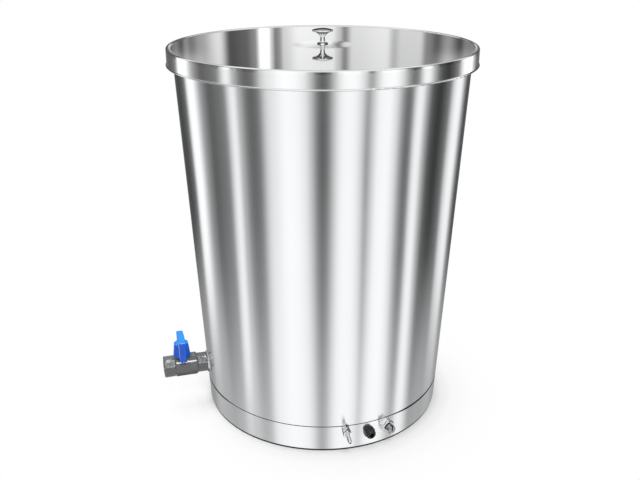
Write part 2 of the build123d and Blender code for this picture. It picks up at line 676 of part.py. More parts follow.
def handle_fin():
    """Thumb fin across the pipe, with a long tip in front of the valve body and a short one behind."""
    tip_inner = FIN_REACH - FIN_TIP_LENGTH
    corners = [
        (tip_inner, FIN_UNDERSIDE),
        (tip_inner, FIN_BACK_TIP_BOTTOM),
        (FIN_REACH, FIN_BACK_TIP_BOTTOM),
        (FIN_REACH, FIN_TOP),
        (-FIN_REACH, FIN_TOP),
        (-FIN_REACH, FIN_FRONT_TIP_BOTTOM),
        (-tip_inner, FIN_FRONT_TIP_BOTTOM),
        (-tip_inner, FIN_UNDERSIDE),
    ]
    outline = make_face(Polyline(*corners, close=True).edges())
    tops = outline.vertices().sort_by(Axis.Y)[-2:]
    blade = extrude(Plane.YZ * fillet(tops, FIN_TOP_RADIUS), FIN_THICKNESS / 2, both=True)
    ease = (FIN_THICKNESS - FIN_TIP_THICKNESS) / 2
    plan = Polyline(
        (0, FIN_THICKNESS / 2),
        (FIN_REACH, FIN_THICKNESS / 2 - ease),
        (FIN_REACH, ease - FIN_THICKNESS / 2),
        (0, -FIN_THICKNESS / 2),
        (-FIN_REACH, ease - FIN_THICKNESS / 2),
        (-FIN_REACH, FIN_THICKNESS / 2 - ease),
        close=True,
    )
    tapered = extrude(Rot(0, 0, 90) * make_face(plan.edges()), FIN_TOP)
    blade = blade & tapered
    return fillet(blade.edges().group_by(Axis.Z)[-1], FIN_EDGE_RADIUS)


def valve_handle():
    turn = 180 / HANDLE_SIDES
    low = RegularPolygon(HUB_BOTTOM_FLATS / 2, HANDLE_SIDES, major_radius=False, rotation=turn)
    high = RegularPolygon(HUB_TOP_FLATS / 2, HANDLE_SIDES, major_radius=False, rotation=turn)
    hub = loft([Pos(0, 0, HUB_BOTTOM) * low, Pos(0, 0, HUB_TOP) * high])
    hub = chamfer(hub.faces().sort_by(Axis.Z)[-1].edges(), HUB_TOP_CHAMFER)
    handle = hub + handle_fin()
    room = BONNET_DIAMETER + 2 * HUB_SOCKET_ROOM
    handle -= rod(room, 0, BONNET_TOP + HUB_SOCKET_ROOM / 2)
    socket = STEM_SQUARE + 2 * THREAD_GAP
    handle -= Box(socket, socket, STEM_SQUARE_TOP + THREAD_GAP, align=STANDING)
    return STEM * handle


# Jacket drain cock

def drain_core_end():
    return DRAIN_NECK_LENGTH + DRAIN_SLEEVE_LENGTH + 2 * DRAIN_SLEEVE_GAP


def drain_cock_body():
    neck = turned([
        (0, 0),
        (DRAIN_NECK_DIAMETER / 2, 0),
        (DRAIN_NECK_END_DIAMETER / 2, DRAIN_NECK_LENGTH),
        (0, DRAIN_NECK_LENGTH),
    ])
    flange = rod(DRAIN_FLANGE_DIAMETER, -DRAIN_FLANGE_THICKNESS, DRAIN_FLANGE_THICKNESS)
    outside = DRAIN * (flange + neck) - cone_bar(0, SKIRT_TOP)
    core = rod(DRAIN_CORE_DIAMETER, DRAIN_NECK_LENGTH, drain_core_end())
    spigot = rod(DRAIN_SPIGOT_DIAMETER, 0, drain_core_end() + DRAIN_SPIGOT_LENGTH)
    shank = rod(DRAIN_SHANK_DIAMETER, -DRAIN_SHANK_LENGTH, DRAIN_FLANGE_THICKNESS)
    inside = DRAIN * (core + spigot + shank)
    bore = DRAIN * rod(DRAIN_BORE, -DRAIN_SHANK_LENGTH, drain_core_end() + DRAIN_SPIGOT_LENGTH)
    return outside + inside - bore


def drain_cock_sleeve():
    """Hexagon sleeve that turns on the cock's core to open it."""
    start = DRAIN_NECK_LENGTH + DRAIN_SLEEVE_GAP
    end = start + DRAIN_SLEEVE_LENGTH
    sleeve = eased_hexagon(DRAIN_SLEEVE_FLATS, start, end)
    return DRAIN * (sleeve - rod(DRAIN_CORE_DIAMETER + 2 * DRAIN_RUNNING_PLAY, start, end))


def drain_nozzle():
    """Hose tail with barbs, screwed on the end of the cock."""
    start = drain_core_end()
    radius = DRAIN_TAIL_DIAMETER / 2
    step = DRAIN_TAIL_LENGTH / (DRAIN_BARB_COUNT + 1)
    corners = [(0, start), (DRAIN_CORE_DIAMETER / 2 + DRAIN_BARB_HEIGHT, start)]
    corners += [(DRAIN_CORE_DIAMETER / 2 + DRAIN_BARB_HEIGHT, start + step), (radius, start + step)]
    for barb in range(1, DRAIN_BARB_COUNT + 1):
        low = start + barb * step
        corners += [(radius + DRAIN_BARB_HEIGHT, low), (radius, low + step)]
    corners += [(0, start + DRAIN_TAIL_LENGTH)]
    tail = turned(corners)
    socket = DRAIN_SPIGOT_DIAMETER + 2 * THREAD_GAP
    tail -= rod(socket, start, start + DRAIN_SPIGOT_LENGTH + THREAD_GAP)
    return DRAIN * (tail - rod(DRAIN_BORE, start, start + DRAIN_TAIL_LENGTH))


def locknut(flats, thread, thickness):
    """Hexagon nut against the inside of the skirt."""
    face = -WALL_SHEET - NUT_SEAT
    nut = prism(HEX_SIDES, flats, face - thickness, face)
    return nut - rod(thread + 2 * THREAD_GAP, face - thickness, face)


def drain_locknut():
    return DRAIN * locknut(DRAIN_NUT_FLATS, DRAIN_SHANK_DIAMETER, DRAIN_NUT_THICKNESS)


def drain_riser(diameter):
    """Upright bar where the drain pipe rises through the jacket floor."""
    back = -DRAIN_SHANK_LENGTH - DRAIN_PIPE_REACH
    upright = Plane(origin=DRAIN.from_local_coords((0, 0, back)), z_dir=DRAIN.y_dir)
    return upright * rod(diameter, 0, TANK_HEIGHT / 2)


def drain_pipe():
    """Bent pipe from the cock's inner end up to the jacket floor."""
    start = -DRAIN_SHANK_LENGTH
    back = start - DRAIN_PIPE_REACH
    rise = 2 * (JACKET_FLOOR_TOP - DRAIN_LEVEL)
    corners = [(0, 0, start), (0, 0, back), (0, rise, back)]
    route = FilletPolyline(*corners, radius=DRAIN_PIPE_BEND)
    bore = DRAIN_PIPE_DIAMETER - 2 * DRAIN_PIPE_WALL
    section = Plane(origin=route @ 0, z_dir=route % 0) * (
        Circle(DRAIN_PIPE_DIAMETER / 2) - Circle(bore / 2)
    )
    pipe = DRAIN * sweep(section, path=route)
    return split(pipe, Plane.XY.offset(JACKET_FLOOR_TOP), keep=Keep.BOTTOM)


# Cable gland

def gland_cap_start():
    return GLAND_HEX_THICKNESS + GLAND_CAP_GAP


def gland_seal_end():
    """Where the cap's dome presses on the seal."""
    return gland_cap_start() + GLAND_CAP_LENGTH - GLAND_CAP_DOME


def gland_body():
    """Threaded body with a hexagon outside the wall and a pocket for the seal."""
    front = GLAND_HEX_THICKNESS
    end = front + GLAND_SPIGOT_LENGTH
    outside = GLAND * eased_hexagon(GLAND_FLATS, -front, front) - cone_bar(0, SKIRT_TOP)
    spigot = rod(GLAND_SPIGOT_DIAMETER, 0, end)
    thread = rod(GLAND_THREAD_DIAMETER, -GLAND_THREAD_LENGTH, front)
    bore = rod(GLAND_CABLE_BORE + 2 * HOLE_PLAY, -GLAND_THREAD_LENGTH, end)
    pocket = rod(GLAND_SEAL_DIAMETER + 2 * THREAD_GAP, -GLAND_SEAL_DEPTH, end)
    return outside + GLAND * (spigot + thread) - GLAND * (bore + pocket)


def gland_cap():
    """Domed compression nut with flats at its root."""
    start = gland_cap_start()
    end = start + GLAND_CAP_LENGTH
    cap = rod(GLAND_CAP_DIAMETER, start, end)
    cap = fillet(cap.edges().sort_by(Axis.Z)[-1], GLAND_CAP_DOME)
    cap += eased_hexagon(GLAND_FLATS, start, start + GLAND_CAP_FLAT_LENGTH)
    cap -= rod(GLAND_SPIGOT_DIAMETER + 2 * HOLE_PLAY, start, gland_seal_end())
    return GLAND * (cap - rod(GLAND_CABLE_BORE + 2 * HOLE_PLAY, start, end))


def gland_seal():
    """Soft sleeve in the body's pocket that the cap squeezes on to a cable."""
    return GLAND * tube(GLAND_SEAL_DIAMETER, GLAND_CABLE_BORE, -GLAND_SEAL_DEPTH, gland_seal_end())


def gland_locknut():
    return GLAND * locknut(GLAND_NUT_FLATS, GLAND_THREAD_DIAMETER, GLAND_NUT_THICKNESS)


# Thermostat

def thermostat_bush_end():
    return THERMOSTAT_WASHER_THICKNESS + THERMOSTAT_NUT_THICKNESS + THERMOSTAT_BUSH_PROUD


def thermostat_back():
    return -WALL_SHEET - THERMOSTAT_BACK_GAP - THERMOSTAT_DEPTH


def thermostat_washer():
    thickness = THERMOSTAT_WASHER_THICKNESS
    disc = THERMOSTAT * rod(THERMOSTAT_WASHER_DIAMETER, -thickness, thickness)
    disc = disc - cone_bar(0, SKIRT_TOP)
    bore = THERMOSTAT_BUSH_DIAMETER + 2 * HOLE_PLAY
    return disc - THERMOSTAT * rod(bore, -thickness, thickness)


def thermostat_nut():
    start = THERMOSTAT_WASHER_THICKNESS
    end = start + THERMOSTAT_NUT_THICKNESS
    nut = eased_hexagon(THERMOSTAT_NUT_FLATS, start, end)
    return THERMOSTAT * (nut - rod(THERMOSTAT_BUSH_DIAMETER + 2 * THREAD_GAP, start, end))


def thermostat_housing():
    """Switch box behind the skirt with the threaded bush that the nut pulls up."""
    front = -WALL_SHEET - THERMOSTAT_BACK_GAP
    box = Box(THERMOSTAT_WIDTH, THERMOSTAT_HEIGHT, THERMOSTAT_DEPTH)
    box = fillet(box.edges().filter_by(Axis.Z), THERMOSTAT_EDGE)
    housing = Pos(0, 0, front - THERMOSTAT_DEPTH / 2) * box
    housing += rod(THERMOSTAT_BOSS_DIAMETER, front, -WALL_SHEET - NUT_SEAT)
    housing += rod(THERMOSTAT_BUSH_DIAMETER, front, thermostat_bush_end())
    bore = SPINDLE_DIAMETER + 2 * SPINDLE_RUNNING_PLAY
    housing -= rod(bore, -SPINDLE_DEPTH - SPINDLE_HEAD_GAP, thermostat_bush_end())
    return THERMOSTAT * housing


def thermostat_spindle():
    """Round adjuster with a slot across its end."""
    start = thermostat_bush_end() + SPINDLE_HEAD_GAP
    end = start + SPINDLE_HEAD_LENGTH
    head = rod(SPINDLE_HEAD_DIAMETER, start, end)
    head = chamfer(head.edges().sort_by(Axis.Z)[-1], SPINDLE_HEAD_CHAMFER)
    slot = Box(2 * SPINDLE_HEAD_DIAMETER, SPINDLE_SLOT_WIDTH, SPINDLE_SLOT_DEPTH, align=STANDING)
    head -= Pos(0, 0, end - SPINDLE_SLOT_DEPTH) * Rot(0, 0, SPINDLE_SLOT_TURN) * slot
    return THERMOSTAT * (head + rod(SPINDLE_DIAMETER, -SPINDLE_DEPTH, start))


def sensor_place():
    """Frame that rises along the wall, from the thermostat into the jacket."""
    foot = THERMOSTAT.from_local_coords((0, 0, -SENSOR_INSET))
    return Plane(origin=foot, z_dir=THERMOSTAT.y_dir)


def sensor_floor():
    """Height of the jacket floor's underside, measured along the sensor's frame."""
    foot = THERMOSTAT.from_local_coords((0, 0, -SENSOR_INSET))
    return (JACKET_FLOOR_BOTTOM - Vector(foot).Z) / cos(radians(WALL_LEAN))


def sensor_pocket():
    """Closed tube that stands in the jacket's water, welded to the jacket floor."""
    seat = sensor_floor() - POCKET_FLANGE_DIAMETER / 2 * LEAN_RATIO - WELD_GAP
    start = seat - POCKET_FLANGE_THICKNESS
    end = sensor_floor() + POCKET_HEIGHT
    pocket = rod(POCKET_DIAMETER, start, end)
    pocket += rod(POCKET_FLANGE_DIAMETER, start, seat)
    pocket -= rod(POCKET_DIAMETER - 2 * POCKET_WALL, start, end - POCKET_WALL)
    return sensor_place() * pocket


def thermostat_bulb():
    """Sensing bulb in its pocket, on the thin pipe from the thermostat."""
    end = sensor_floor() + POCKET_HEIGHT - 2 * POCKET_WALL
    bulb = rod(BULB_DIAMETER, end - BULB_LENGTH, end)
    bulb += rod(CAPILLARY_DIAMETER, THERMOSTAT_HEIGHT / 2, end)
    return sensor_place() * bulb


# Heater

def heater_height():
    return JACKET_FLOOR_TOP + HEATER_STANDOFF + HEATER_TUBE_DIAMETER / 2


def heater_place():
    return Pos(0, -HEATER_LOOP_RADIUS, 0)


def heater_flange_bottom():
    return JACKET_FLOOR_BOTTOM - HEATER_GASKET_THICKNESS - HEATER_FLANGE_THICKNESS


def heater_leg_end():
    return heater_flange_bottom() - HEATER_LEG_PROUD


def heater_element():
    """Open ring of heater tube whose two ends turn down through the flange."""
    height = heater_height()
    across = HEATER_LEG_SPREAD / 2 + HEATER_BEND
    along = sqrt(HEATER_LOOP_RADIUS ** 2 - across ** 2)
    centre = Vector(0, along - HEATER_LOOP_RADIUS, height)
    heading = Vector(along, across, 0) / HEATER_LOOP_RADIUS
    start = Vector(across, -along, 0) + centre
    far = centre + Vector(0, HEATER_LOOP_RADIUS, 0)
    down = Vector(0, 0, HEATER_BEND)
    elbow_centre = start - down
    elbow_start = elbow_centre - heading * HEATER_BEND
    elbow_middle = elbow_centre + (Vector(0, 0, 1) - heading) * (HEATER_BEND / sqrt(2))
    leg_end = Vector(elbow_start.X, elbow_start.Y, heater_leg_end())
    first = [
        Line(leg_end, elbow_start),
        ThreePointArc(elbow_start, elbow_middle, start),
        ThreePointArc(start, centre + Vector(HEATER_LOOP_RADIUS, 0, 0), far),
    ]
    path = Wire([line.edge() for line in first])
    section = Plane(origin=leg_end, z_dir=(0, 0, 1)) * Circle(HEATER_TUBE_DIAMETER / 2)
    half = sweep(section, path=path)
    return half + mirror(half, Plane.YZ)


def heater_leg_place():
    """Where the element's right leg really passes through the flange."""
    across = HEATER_LEG_SPREAD / 2 + HEATER_BEND
    along = sqrt(HEATER_LOOP_RADIUS ** 2 - across ** 2)
    left = across - HEATER_BEND * along / HEATER_LOOP_RADIUS
    back = -HEATER_LOOP_RADIUS - HEATER_BEND * across / HEATER_LOOP_RADIUS
    return Vector(left, back, 0)


def both_legs(piece):
    """A piece at each of the heater's two legs."""
    leg = heater_leg_place()
    return [Pos(leg.X, leg.Y, 0) * piece, Pos(-leg.X, leg.Y, 0) * piece]


def heater_stud_places():
    radius = (HEATER_FLANGE_DIAMETER + HEATER_OPENING) / 4
    circle = PolarLocations(radius, HEATER_STUD_COUNT, HEATER_STUD_TURN)
    return [heater_place() * place for place in circle]


def heater_flange():
    low = heater_flange_bottom()
    high = low + HEATER_FLANGE_THICKNESS
    plate = heater_place() * rod(HEATER_FLANGE_DIAMETER, low, high)
    for hole in both_legs(rod(HEATER_TUBE_DIAMETER + 2 * WELD_GAP, low, high)):
        plate -= hole
    for place in heater_stud_places():
        plate -= place * rod(HEATER_STUD_DIAMETER + 2 * HOLE_PLAY, low, high)
    return plate


def heater_gasket():
    high = JACKET_FLOOR_BOTTOM
    low = high - HEATER_GASKET_THICKNESS
    ring = heater_place() * tube(HEATER_FLANGE_DIAMETER, HEATER_OPENING, low, high)
    for place in heater_stud_places():
        ring -= place * rod(HEATER_STUD_DIAMETER + 2 * HOLE_PLAY, low, high)
    return ring


def heater_studs():
    low = heater_flange_bottom() - HEATER_STUD_PROUD
    stud = rod(HEATER_STUD_DIAMETER, low, JACKET_FLOOR_BOTTOM)
    return Compound([place * stud for place in heater_stud_places()])


def heater_nuts():
    high = heater_flange_bottom()
    low = high - HEATER_NUT_THICKNESS
    nut = prism(HEX_SIDES, HEATER_NUT_FLATS, low, high)
    nut = nut - rod(HEATER_STUD_DIAMETER + 2 * THREAD_GAP, low, high)
    return Compound([place * nut.solid() for place in heater_stud_places()])


def terminal_end():
    return heater_leg_end() - TERMINAL_BEAD_LENGTH - TERMINAL_STUD_LENGTH


def heater_terminals():
    """Ceramic bead and threaded pin at each end of the element."""
    high = heater_leg_end()
    terminal = rod(HEATER_TUBE_DIAMETER, high - TERMINAL_BEAD_LENGTH, high)
    terminal += rod(TERMINAL_STUD_DIAMETER, terminal_end(), high)
    return Compound([piece.solid() for piece in both_legs(terminal)])


def heater_terminal_nuts():
    high = heater_leg_end() - TERMINAL_BEAD_LENGTH
    low = high - TERMINAL_NUT_THICKNESS
    nut = prism(HEX_SIDES, TERMINAL_NUT_FLATS, low, high)
    nut = nut - rod(TERMINAL_STUD_DIAMETER + 2 * THREAD_GAP, low, high)
    return Compound([piece.solid() for piece in both_legs(nut)])


# Terminal block and leads

def block_screw_places():
    across = BLOCK_LENGTH / 2 - BLOCK_SCREW_INSET
    return [Pos(side * across, -BLOCK_RADIUS, 0) for side in (-1, 1)]


def block_hole_height():
    return FOOT_HEIGHT + BLOCK_HEIGHT / 2


def terminal_block():
    block = Box(BLOCK_LENGTH, BLOCK_DEPTH, BLOCK_HEIGHT, align=STANDING)
    block = fillet(block.edges().filter_by(Axis.Z), BLOCK_EDGE)
    block = Pos(0, -BLOCK_RADIUS, FOOT_HEIGHT) * block
    leg = heater_leg_place()
    for across in (-leg.X, 0, leg.X):
        way = Plane(origin=(across, 0, block_hole_height()), z_dir=(0, -1, 0))
        block -= way * rod(BLOCK_HOLE_DIAMETER, 0, BLOCK_RADIUS + BLOCK_DEPTH)
    for place in block_screw_places():
        block -= place * rod(BLOCK_SCREW_DIAMETER + 2 * HOLE_PLAY, 0, FOOT_HEIGHT + BLOCK_HEIGHT)
    return block


def terminal_block_screws():
    top = FOOT_HEIGHT + BLOCK_HEIGHT
    screw = rod(BLOCK_SCREW_DIAMETER, PLATE_BOTTOM, top)
    screw += rod(BLOCK_SCREW_HEAD_DIAMETER, top, top + BLOCK_SCREW_HEAD_HEIGHT)
    return Compound([place * screw.solid() for place in block_screw_places()])


def internal_leads():
    """Leads from block to heater, heater to thermostat and block to thermostat."""
    leg = heater_leg_place()
    drop = terminal_end()
    level = block_hole_height()
    block_face = -BLOCK_RADIUS + BLOCK_DEPTH / 2
    back = thermostat_back()
    tab_low = -LEAD_PITCH / 2
    heater_tab = THERMOSTAT.from_local_coords((-LEAD_PITCH / 2, tab_low, back))
    heater_way = THERMOSTAT.from_local_coords((-LEAD_PITCH / 2, tab_low, back - LEAD_RUN_OUT))
    block_tab = THERMOSTAT.from_local_coords((LEAD_PITCH / 2, tab_low, back))
    block_way = THERMOSTAT.from_local_coords((LEAD_PITCH / 2, tab_low, back - LEAD_RUN_OUT))
    routes = [
        [(-leg.X, leg.Y, drop), (-leg.X, leg.Y, level), (-leg.X, block_face, level)],
        [(leg.X, leg.Y, drop), (leg.X, leg.Y, drop - LEAD_RUN_OUT / 2), heater_way, heater_tab],
        [(leg.X, block_face, level), (leg.X, block_face + LEAD_RUN_OUT, level), block_way, block_tab],
    ]
    return Compound([lead_along(route, LEAD_BEND).solid() for route in routes])


PIECES = [
    outer_shell, base_skirt, foot_ring, base_plate, base_plate_screws, jacket_floor,
    inner_vessel, vessel_floor, rim_wire, lid, lid_knob, knob_washer, knob_screw,
    outlet_nipple, wall_collar, valve_body, valve_end_connector, ball_seats, valve_ball,
    valve_stem, stem_o_rings, valve_handle,
    drain_cock_body, drain_cock_sleeve, drain_nozzle, drain_locknut, drain_pipe,
    gland_body, gland_cap, gland_seal, gland_locknut,
    thermostat_washer, thermostat_nut, thermostat_housing, thermostat_spindle,
    sensor_pocket, thermostat_bulb,
    heater_element, heater_flange, heater_gasket, heater_studs, heater_nuts,
    heater_terminals, heater_terminal_nuts,
    terminal_block, terminal_block_screws, internal_leads,
]

os.makedirs("parts", exist_ok=True)
for piece in PIECES:
    export_step(piece(), f"parts/{piece.__name__}.step")
    print("made", piece.__name__)
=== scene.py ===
# %% [markdown]
# # Heated dispensing tank
#
# A tapered stainless tank for warming honey stands on a pale floor. The solids come from the
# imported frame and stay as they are. This lesson gives them their finishes, adds the small forms
# that are too fine for the solids, and sets up a plain studio that the polished sheet can mirror.

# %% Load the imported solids
import json
from math import cos, pi, radians, sin, tan

import bmesh
import bpy
import numpy as np
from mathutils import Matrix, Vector


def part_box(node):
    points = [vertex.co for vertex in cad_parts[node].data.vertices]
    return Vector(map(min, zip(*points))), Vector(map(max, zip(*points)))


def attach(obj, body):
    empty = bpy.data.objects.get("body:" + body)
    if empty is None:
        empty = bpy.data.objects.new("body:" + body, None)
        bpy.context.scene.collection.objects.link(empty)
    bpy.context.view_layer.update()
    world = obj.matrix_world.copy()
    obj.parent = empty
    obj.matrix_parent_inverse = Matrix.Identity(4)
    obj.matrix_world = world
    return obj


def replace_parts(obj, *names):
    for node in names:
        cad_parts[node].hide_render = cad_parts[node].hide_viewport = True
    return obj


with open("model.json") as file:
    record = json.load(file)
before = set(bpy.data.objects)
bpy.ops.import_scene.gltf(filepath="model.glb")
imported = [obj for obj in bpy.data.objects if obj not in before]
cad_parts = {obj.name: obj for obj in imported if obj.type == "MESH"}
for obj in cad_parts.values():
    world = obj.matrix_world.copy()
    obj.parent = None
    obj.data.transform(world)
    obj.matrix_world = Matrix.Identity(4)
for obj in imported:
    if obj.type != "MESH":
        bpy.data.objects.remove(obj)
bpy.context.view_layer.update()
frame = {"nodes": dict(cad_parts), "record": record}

scene = bpy.context.scene
scene.view_settings.view_transform = "Standard"

# %% [markdown]
# ## Camera
#
# Points read off the rim, the lid's band, the seam, the foot and the two straight sides gave the
# camera and the tank's taper in one fit. The lens is short enough for the sides to close in more
# than their own taper, and the camera looks 22 degrees down from a little left of the skirt's
# fittings. The fit could be worked out here too; its result, a fixed place, is easier to read.

# %% Camera at the photograph's angle
CAMERA_TURN = -16.0
CAMERA_DIP = 22.24
CAMERA_PLACE = (-0.3582, -1.2339, 0.8224)
LENS_PIXELS = 771.7
FRAME_WIDTH = 640
SENSOR_WIDTH = 36.0

lens = bpy.data.cameras.new("camera")
lens.sensor_width = SENSOR_WIDTH
lens.lens = LENS_PIXELS / FRAME_WIDTH * SENSOR_WIDTH
camera = bpy.data.objects.new("camera", lens)
camera.location = CAMERA_PLACE
camera.rotation_euler = (radians(90 - CAMERA_DIP), 0, radians(CAMERA_TURN))
scene.collection.objects.link(camera)
scene.camera = camera
print("camera lens", round(lens.lens, 2), "mm")

# %% [markdown]
# ## Short way to write shader nodes
#
# A material is a small graph. It could be drawn by hand in the node editor; written down, it can
# be read and repeated. `Graph.node` adds one node: plain values go on its sockets and other
# nodes' outputs are linked to them, so each line of a material reads like one step of a recipe.

# %% Node helper


class Graph:
    """A cleared node tree with short calls that add and link nodes."""

    # A Mix node has sockets for every kind of data. These are the numbers of its colour ones.
    MIX_AMOUNT, MIX_FIRST, MIX_SECOND, MIX_RESULT = 0, 6, 7, 2

    def __init__(self, tree):
        self.tree = tree
        tree.nodes.clear()

    def node(self, kind, inputs=None, **settings):
        """One node: its settings first, then a value or a link for each named input."""
        made = self.tree.nodes.new("ShaderNode" + kind)
        for name, value in settings.items():
            setattr(made, name, value)
        for name, value in (inputs or {}).items():
            if isinstance(value, bpy.types.NodeSocket):
                self.tree.links.new(value, made.inputs[name])
            else:
                made.inputs[name].default_value = value
        return made

    def math(self, operation, *values):
        """One sum on plain numbers."""
        return self.node("Math", dict(enumerate(values)), operation=operation).outputs[0]

    def dot(self, first, second):
        """How far the first vector reaches along the second."""
        made = self.node("VectorMath", {0: first, 1: second}, operation="DOT_PRODUCT")
        return made.outputs["Value"]

    def span(self, value, low, high, to_low=0.0, to_high=1.0, smooth=False):
        """Map one range of a value to another, held at the ends."""
        inputs = {"Value": value, "From Min": low, "From Max": high,
                  "To Min": to_low, "To Max": to_high}
        kind = "SMOOTHSTEP" if smooth else "LINEAR"
        return self.node("MapRange", inputs, interpolation_type=kind).outputs["Result"]

    def ramp(self, value, stops):
        """Grey ramp from (place, level) pairs, eased between them."""
        made = self.node("ValToRGB", {"Fac": value})
        band = made.color_ramp
        band.interpolation = "EASE"
        band.elements[0].position = stops[0][0]
        band.elements[1].position = stops[-1][0]
        for place, _ in stops[1:-1]:
            band.elements.new(place)
        for element, (_, level) in zip(band.elements, stops):
            element.color = (level, level, level, 1)
        return made.outputs["Color"]

    def blend(self, amount, first, second):
        """Mix two colours: all of the first at 0, all of the second at 1."""
        inputs = {self.MIX_AMOUNT: amount, self.MIX_FIRST: first, self.MIX_SECOND: second}
        return self.node("Mix", inputs, data_type="RGBA").outputs[self.MIX_RESULT]


print("node helper ready")

# %% [markdown]
# ## Studio
#
# Polished sheet has hardly any colour of its own: what it shows is the room. The room is a white
# sweep with grey cards standing round it, as a photographer places them to draw the edges of a
# round metal body. The cards could be planes round the tank. Written into the world they cast no
# shadow and hide nothing: the direction of a mirror ray becomes a turn round from the camera and
# a height, and a card is a level of grey at some turn. So each streak on the wall can be traced
# back to one card.

# %% Turn and height of a mirror ray
HALF_TURN = 180

world = bpy.data.worlds.new("studio")
world.use_nodes = True
scene.world = world
room = Graph(world.node_tree)
look = (sin(radians(-CAMERA_TURN)), cos(radians(-CAMERA_TURN)), 0)
across = (look[1], -look[0], 0)
direction = room.node("TexCoord").outputs["Generated"]
ahead = room.dot(direction, look)
right = room.dot(direction, across)
height = room.node("SeparateXYZ", {0: direction}).outputs["Z"]
path = room.node("LightPath").outputs

front_turn = room.math("ARCTAN2", right, ahead)
outwards = room.math("ABSOLUTE", front_turn)
back_turn = room.math("ARCTAN2", right, room.math("MULTIPLY", ahead, -1))
turned_away = room.span(room.math("ABSOLUTE", back_turn), 0, pi)
on_right = room.math("GREATER_THAN", back_turn, 0.0)


def round_cards(turn, cards):
    """Level of a row of cards, given as pairs of degrees round from the camera and grey."""
    return room.ramp(turn, [(angle / HALF_TURN, level) for angle, level in cards])


print("the camera looks along", [round(part, 3) for part in look])

# %% [markdown]
# ## Cards beside the wall
#
# The wall mirrors the part of the room that lies below the horizon. A row of dark and white cards
# runs from the camera round each side to the back. The cards could stand upright, but the
# photograph's streaks spread a little towards the foot, so the lower ends of the cards stand
# further out. The last white card on each side is the brightest, because worked metal dims
# towards its edges.

# %% Rows of cards on the left and right
LEFT_CARDS = [
    (0, 0.06), (4, 0.14), (8, 0.48), (13, 0.84), (20, 0.97), (27, 1.00), (40, 0.78), (44, 0.62),
    (47, 0.28), (50, 0.13), (56, 0.10), (61, 0.18), (64, 0.42), (66, 0.36), (69, 0.92), (72, 1.00),
    (75, 0.72), (79, 0.18), (86, 0.15), (96, 0.10), (102, 0.22), (107, 0.38), (112, 0.80),
    (116, 1.25), (125, 1.25), (131, 0.14), (146, 0.10), (180, 0.30),
]
RIGHT_CARDS = [
    (0, 0.06), (4, 0.14), (8, 0.48), (12, 0.84), (16, 0.97), (24, 0.96), (29, 0.72), (34, 0.20),
    (39, 0.66), (43, 0.96), (52, 1.00), (57, 0.78), (63, 0.26), (67, 0.08), (71, 0.14), (75, 0.85),
    (78, 1.00), (81, 0.95), (85, 0.40), (91, 0.07), (100, 0.03), (112, 0.14), (120, 0.90),
    (126, 1.20), (133, 1.25), (139, 0.50), (147, 0.10), (180, 0.30),
]
LEAN_HEIGHTS, LEAN_SHARE = (-0.64, -0.34), 0.93

lean = room.span(height, *LEAN_HEIGHTS, LEAN_SHARE, 1.0)
leaning_turn = room.math("MULTIPLY", turned_away, lean)
wall_card = room.blend(on_right, round_cards(leaning_turn, LEFT_CARDS),
                       round_cards(leaning_turn, RIGHT_CARDS))
print("cards beside the wall", len(LEFT_CARDS) + len(RIGHT_CARDS))

# %% [markdown]
# ## Sweep under the cards
#
# Near its foot a real tank mirrors the paper that it stands on. A glowing floor could be mirrored
# there, but its level could not be set apart from the shadow that the camera sees. So the floor
# is hidden from mirror rays, and here the cards fade to white as the rays go down, those at the
# tank's edges to grey. Straight down, under the foot, it is dark again.

# %% Sweep below the cards
FADE_HEIGHTS, FADE_POWER = (-0.68, -0.38), 0.30
UNDER_HEIGHTS, UNDER_LEVEL = (-0.95, -0.74), 0.25
LOW_GREY = (0.50, 0.50, 0.50, 1)
LOW_SIDES = {"turns": (0.52, 0.60), "heights": (-0.60, -0.42), "level": 0.85}
LOW_LEFT = {"turns": (0.34, 0.42), "heights": (-0.635, -0.59), "level": 0.85}
EDGE_LIFT = {"turns": (0.66, 0.74), "heights": (-0.52, -0.30), "level": 0.50}


def low_patch(turns, heights, level):
    """The given level past a turn, as a share of half a turn, and below a height, eased at both."""
    return room.math("MULTIPLY", room.span(turned_away, *turns, smooth=True),
                     room.span(height, *heights, level, 0.0, smooth=True))


fade = room.span(height, *FADE_HEIGHTS, FADE_POWER, 1.0, smooth=True)
under = room.span(height, *UNDER_HEIGHTS, UNDER_LEVEL, 1.0, smooth=True)
low_left = room.math("MULTIPLY", low_patch(**LOW_LEFT), room.math("SUBTRACT", 1, on_right))
low_edge = room.math("MAXIMUM", low_patch(**LOW_SIDES), low_left)
lifted = room.math("MAXIMUM", room.math("POWER", wall_card, fade), low_patch(**EDGE_LIFT))
wall_light = room.math("MULTIPLY", room.blend(low_edge, lifted, LOW_GREY), under)
print("cards fade between heights", FADE_HEIGHTS)

# %% [markdown]
# ## Cards behind the lid
#
# The lid's panel is a flat mirror seen at a shallow angle, so it shows a narrow part of the room,
# straight ahead of the camera and just above the horizon. Its streaks could come from waves in
# the sheet. Cards a degree or so wide give the same and leave the panel flat. They end a little
# above what the panel mirrors, so that the lid's rounded edge turns dark, and at both sides the
# part of the panel nearest to the camera is a little lighter.

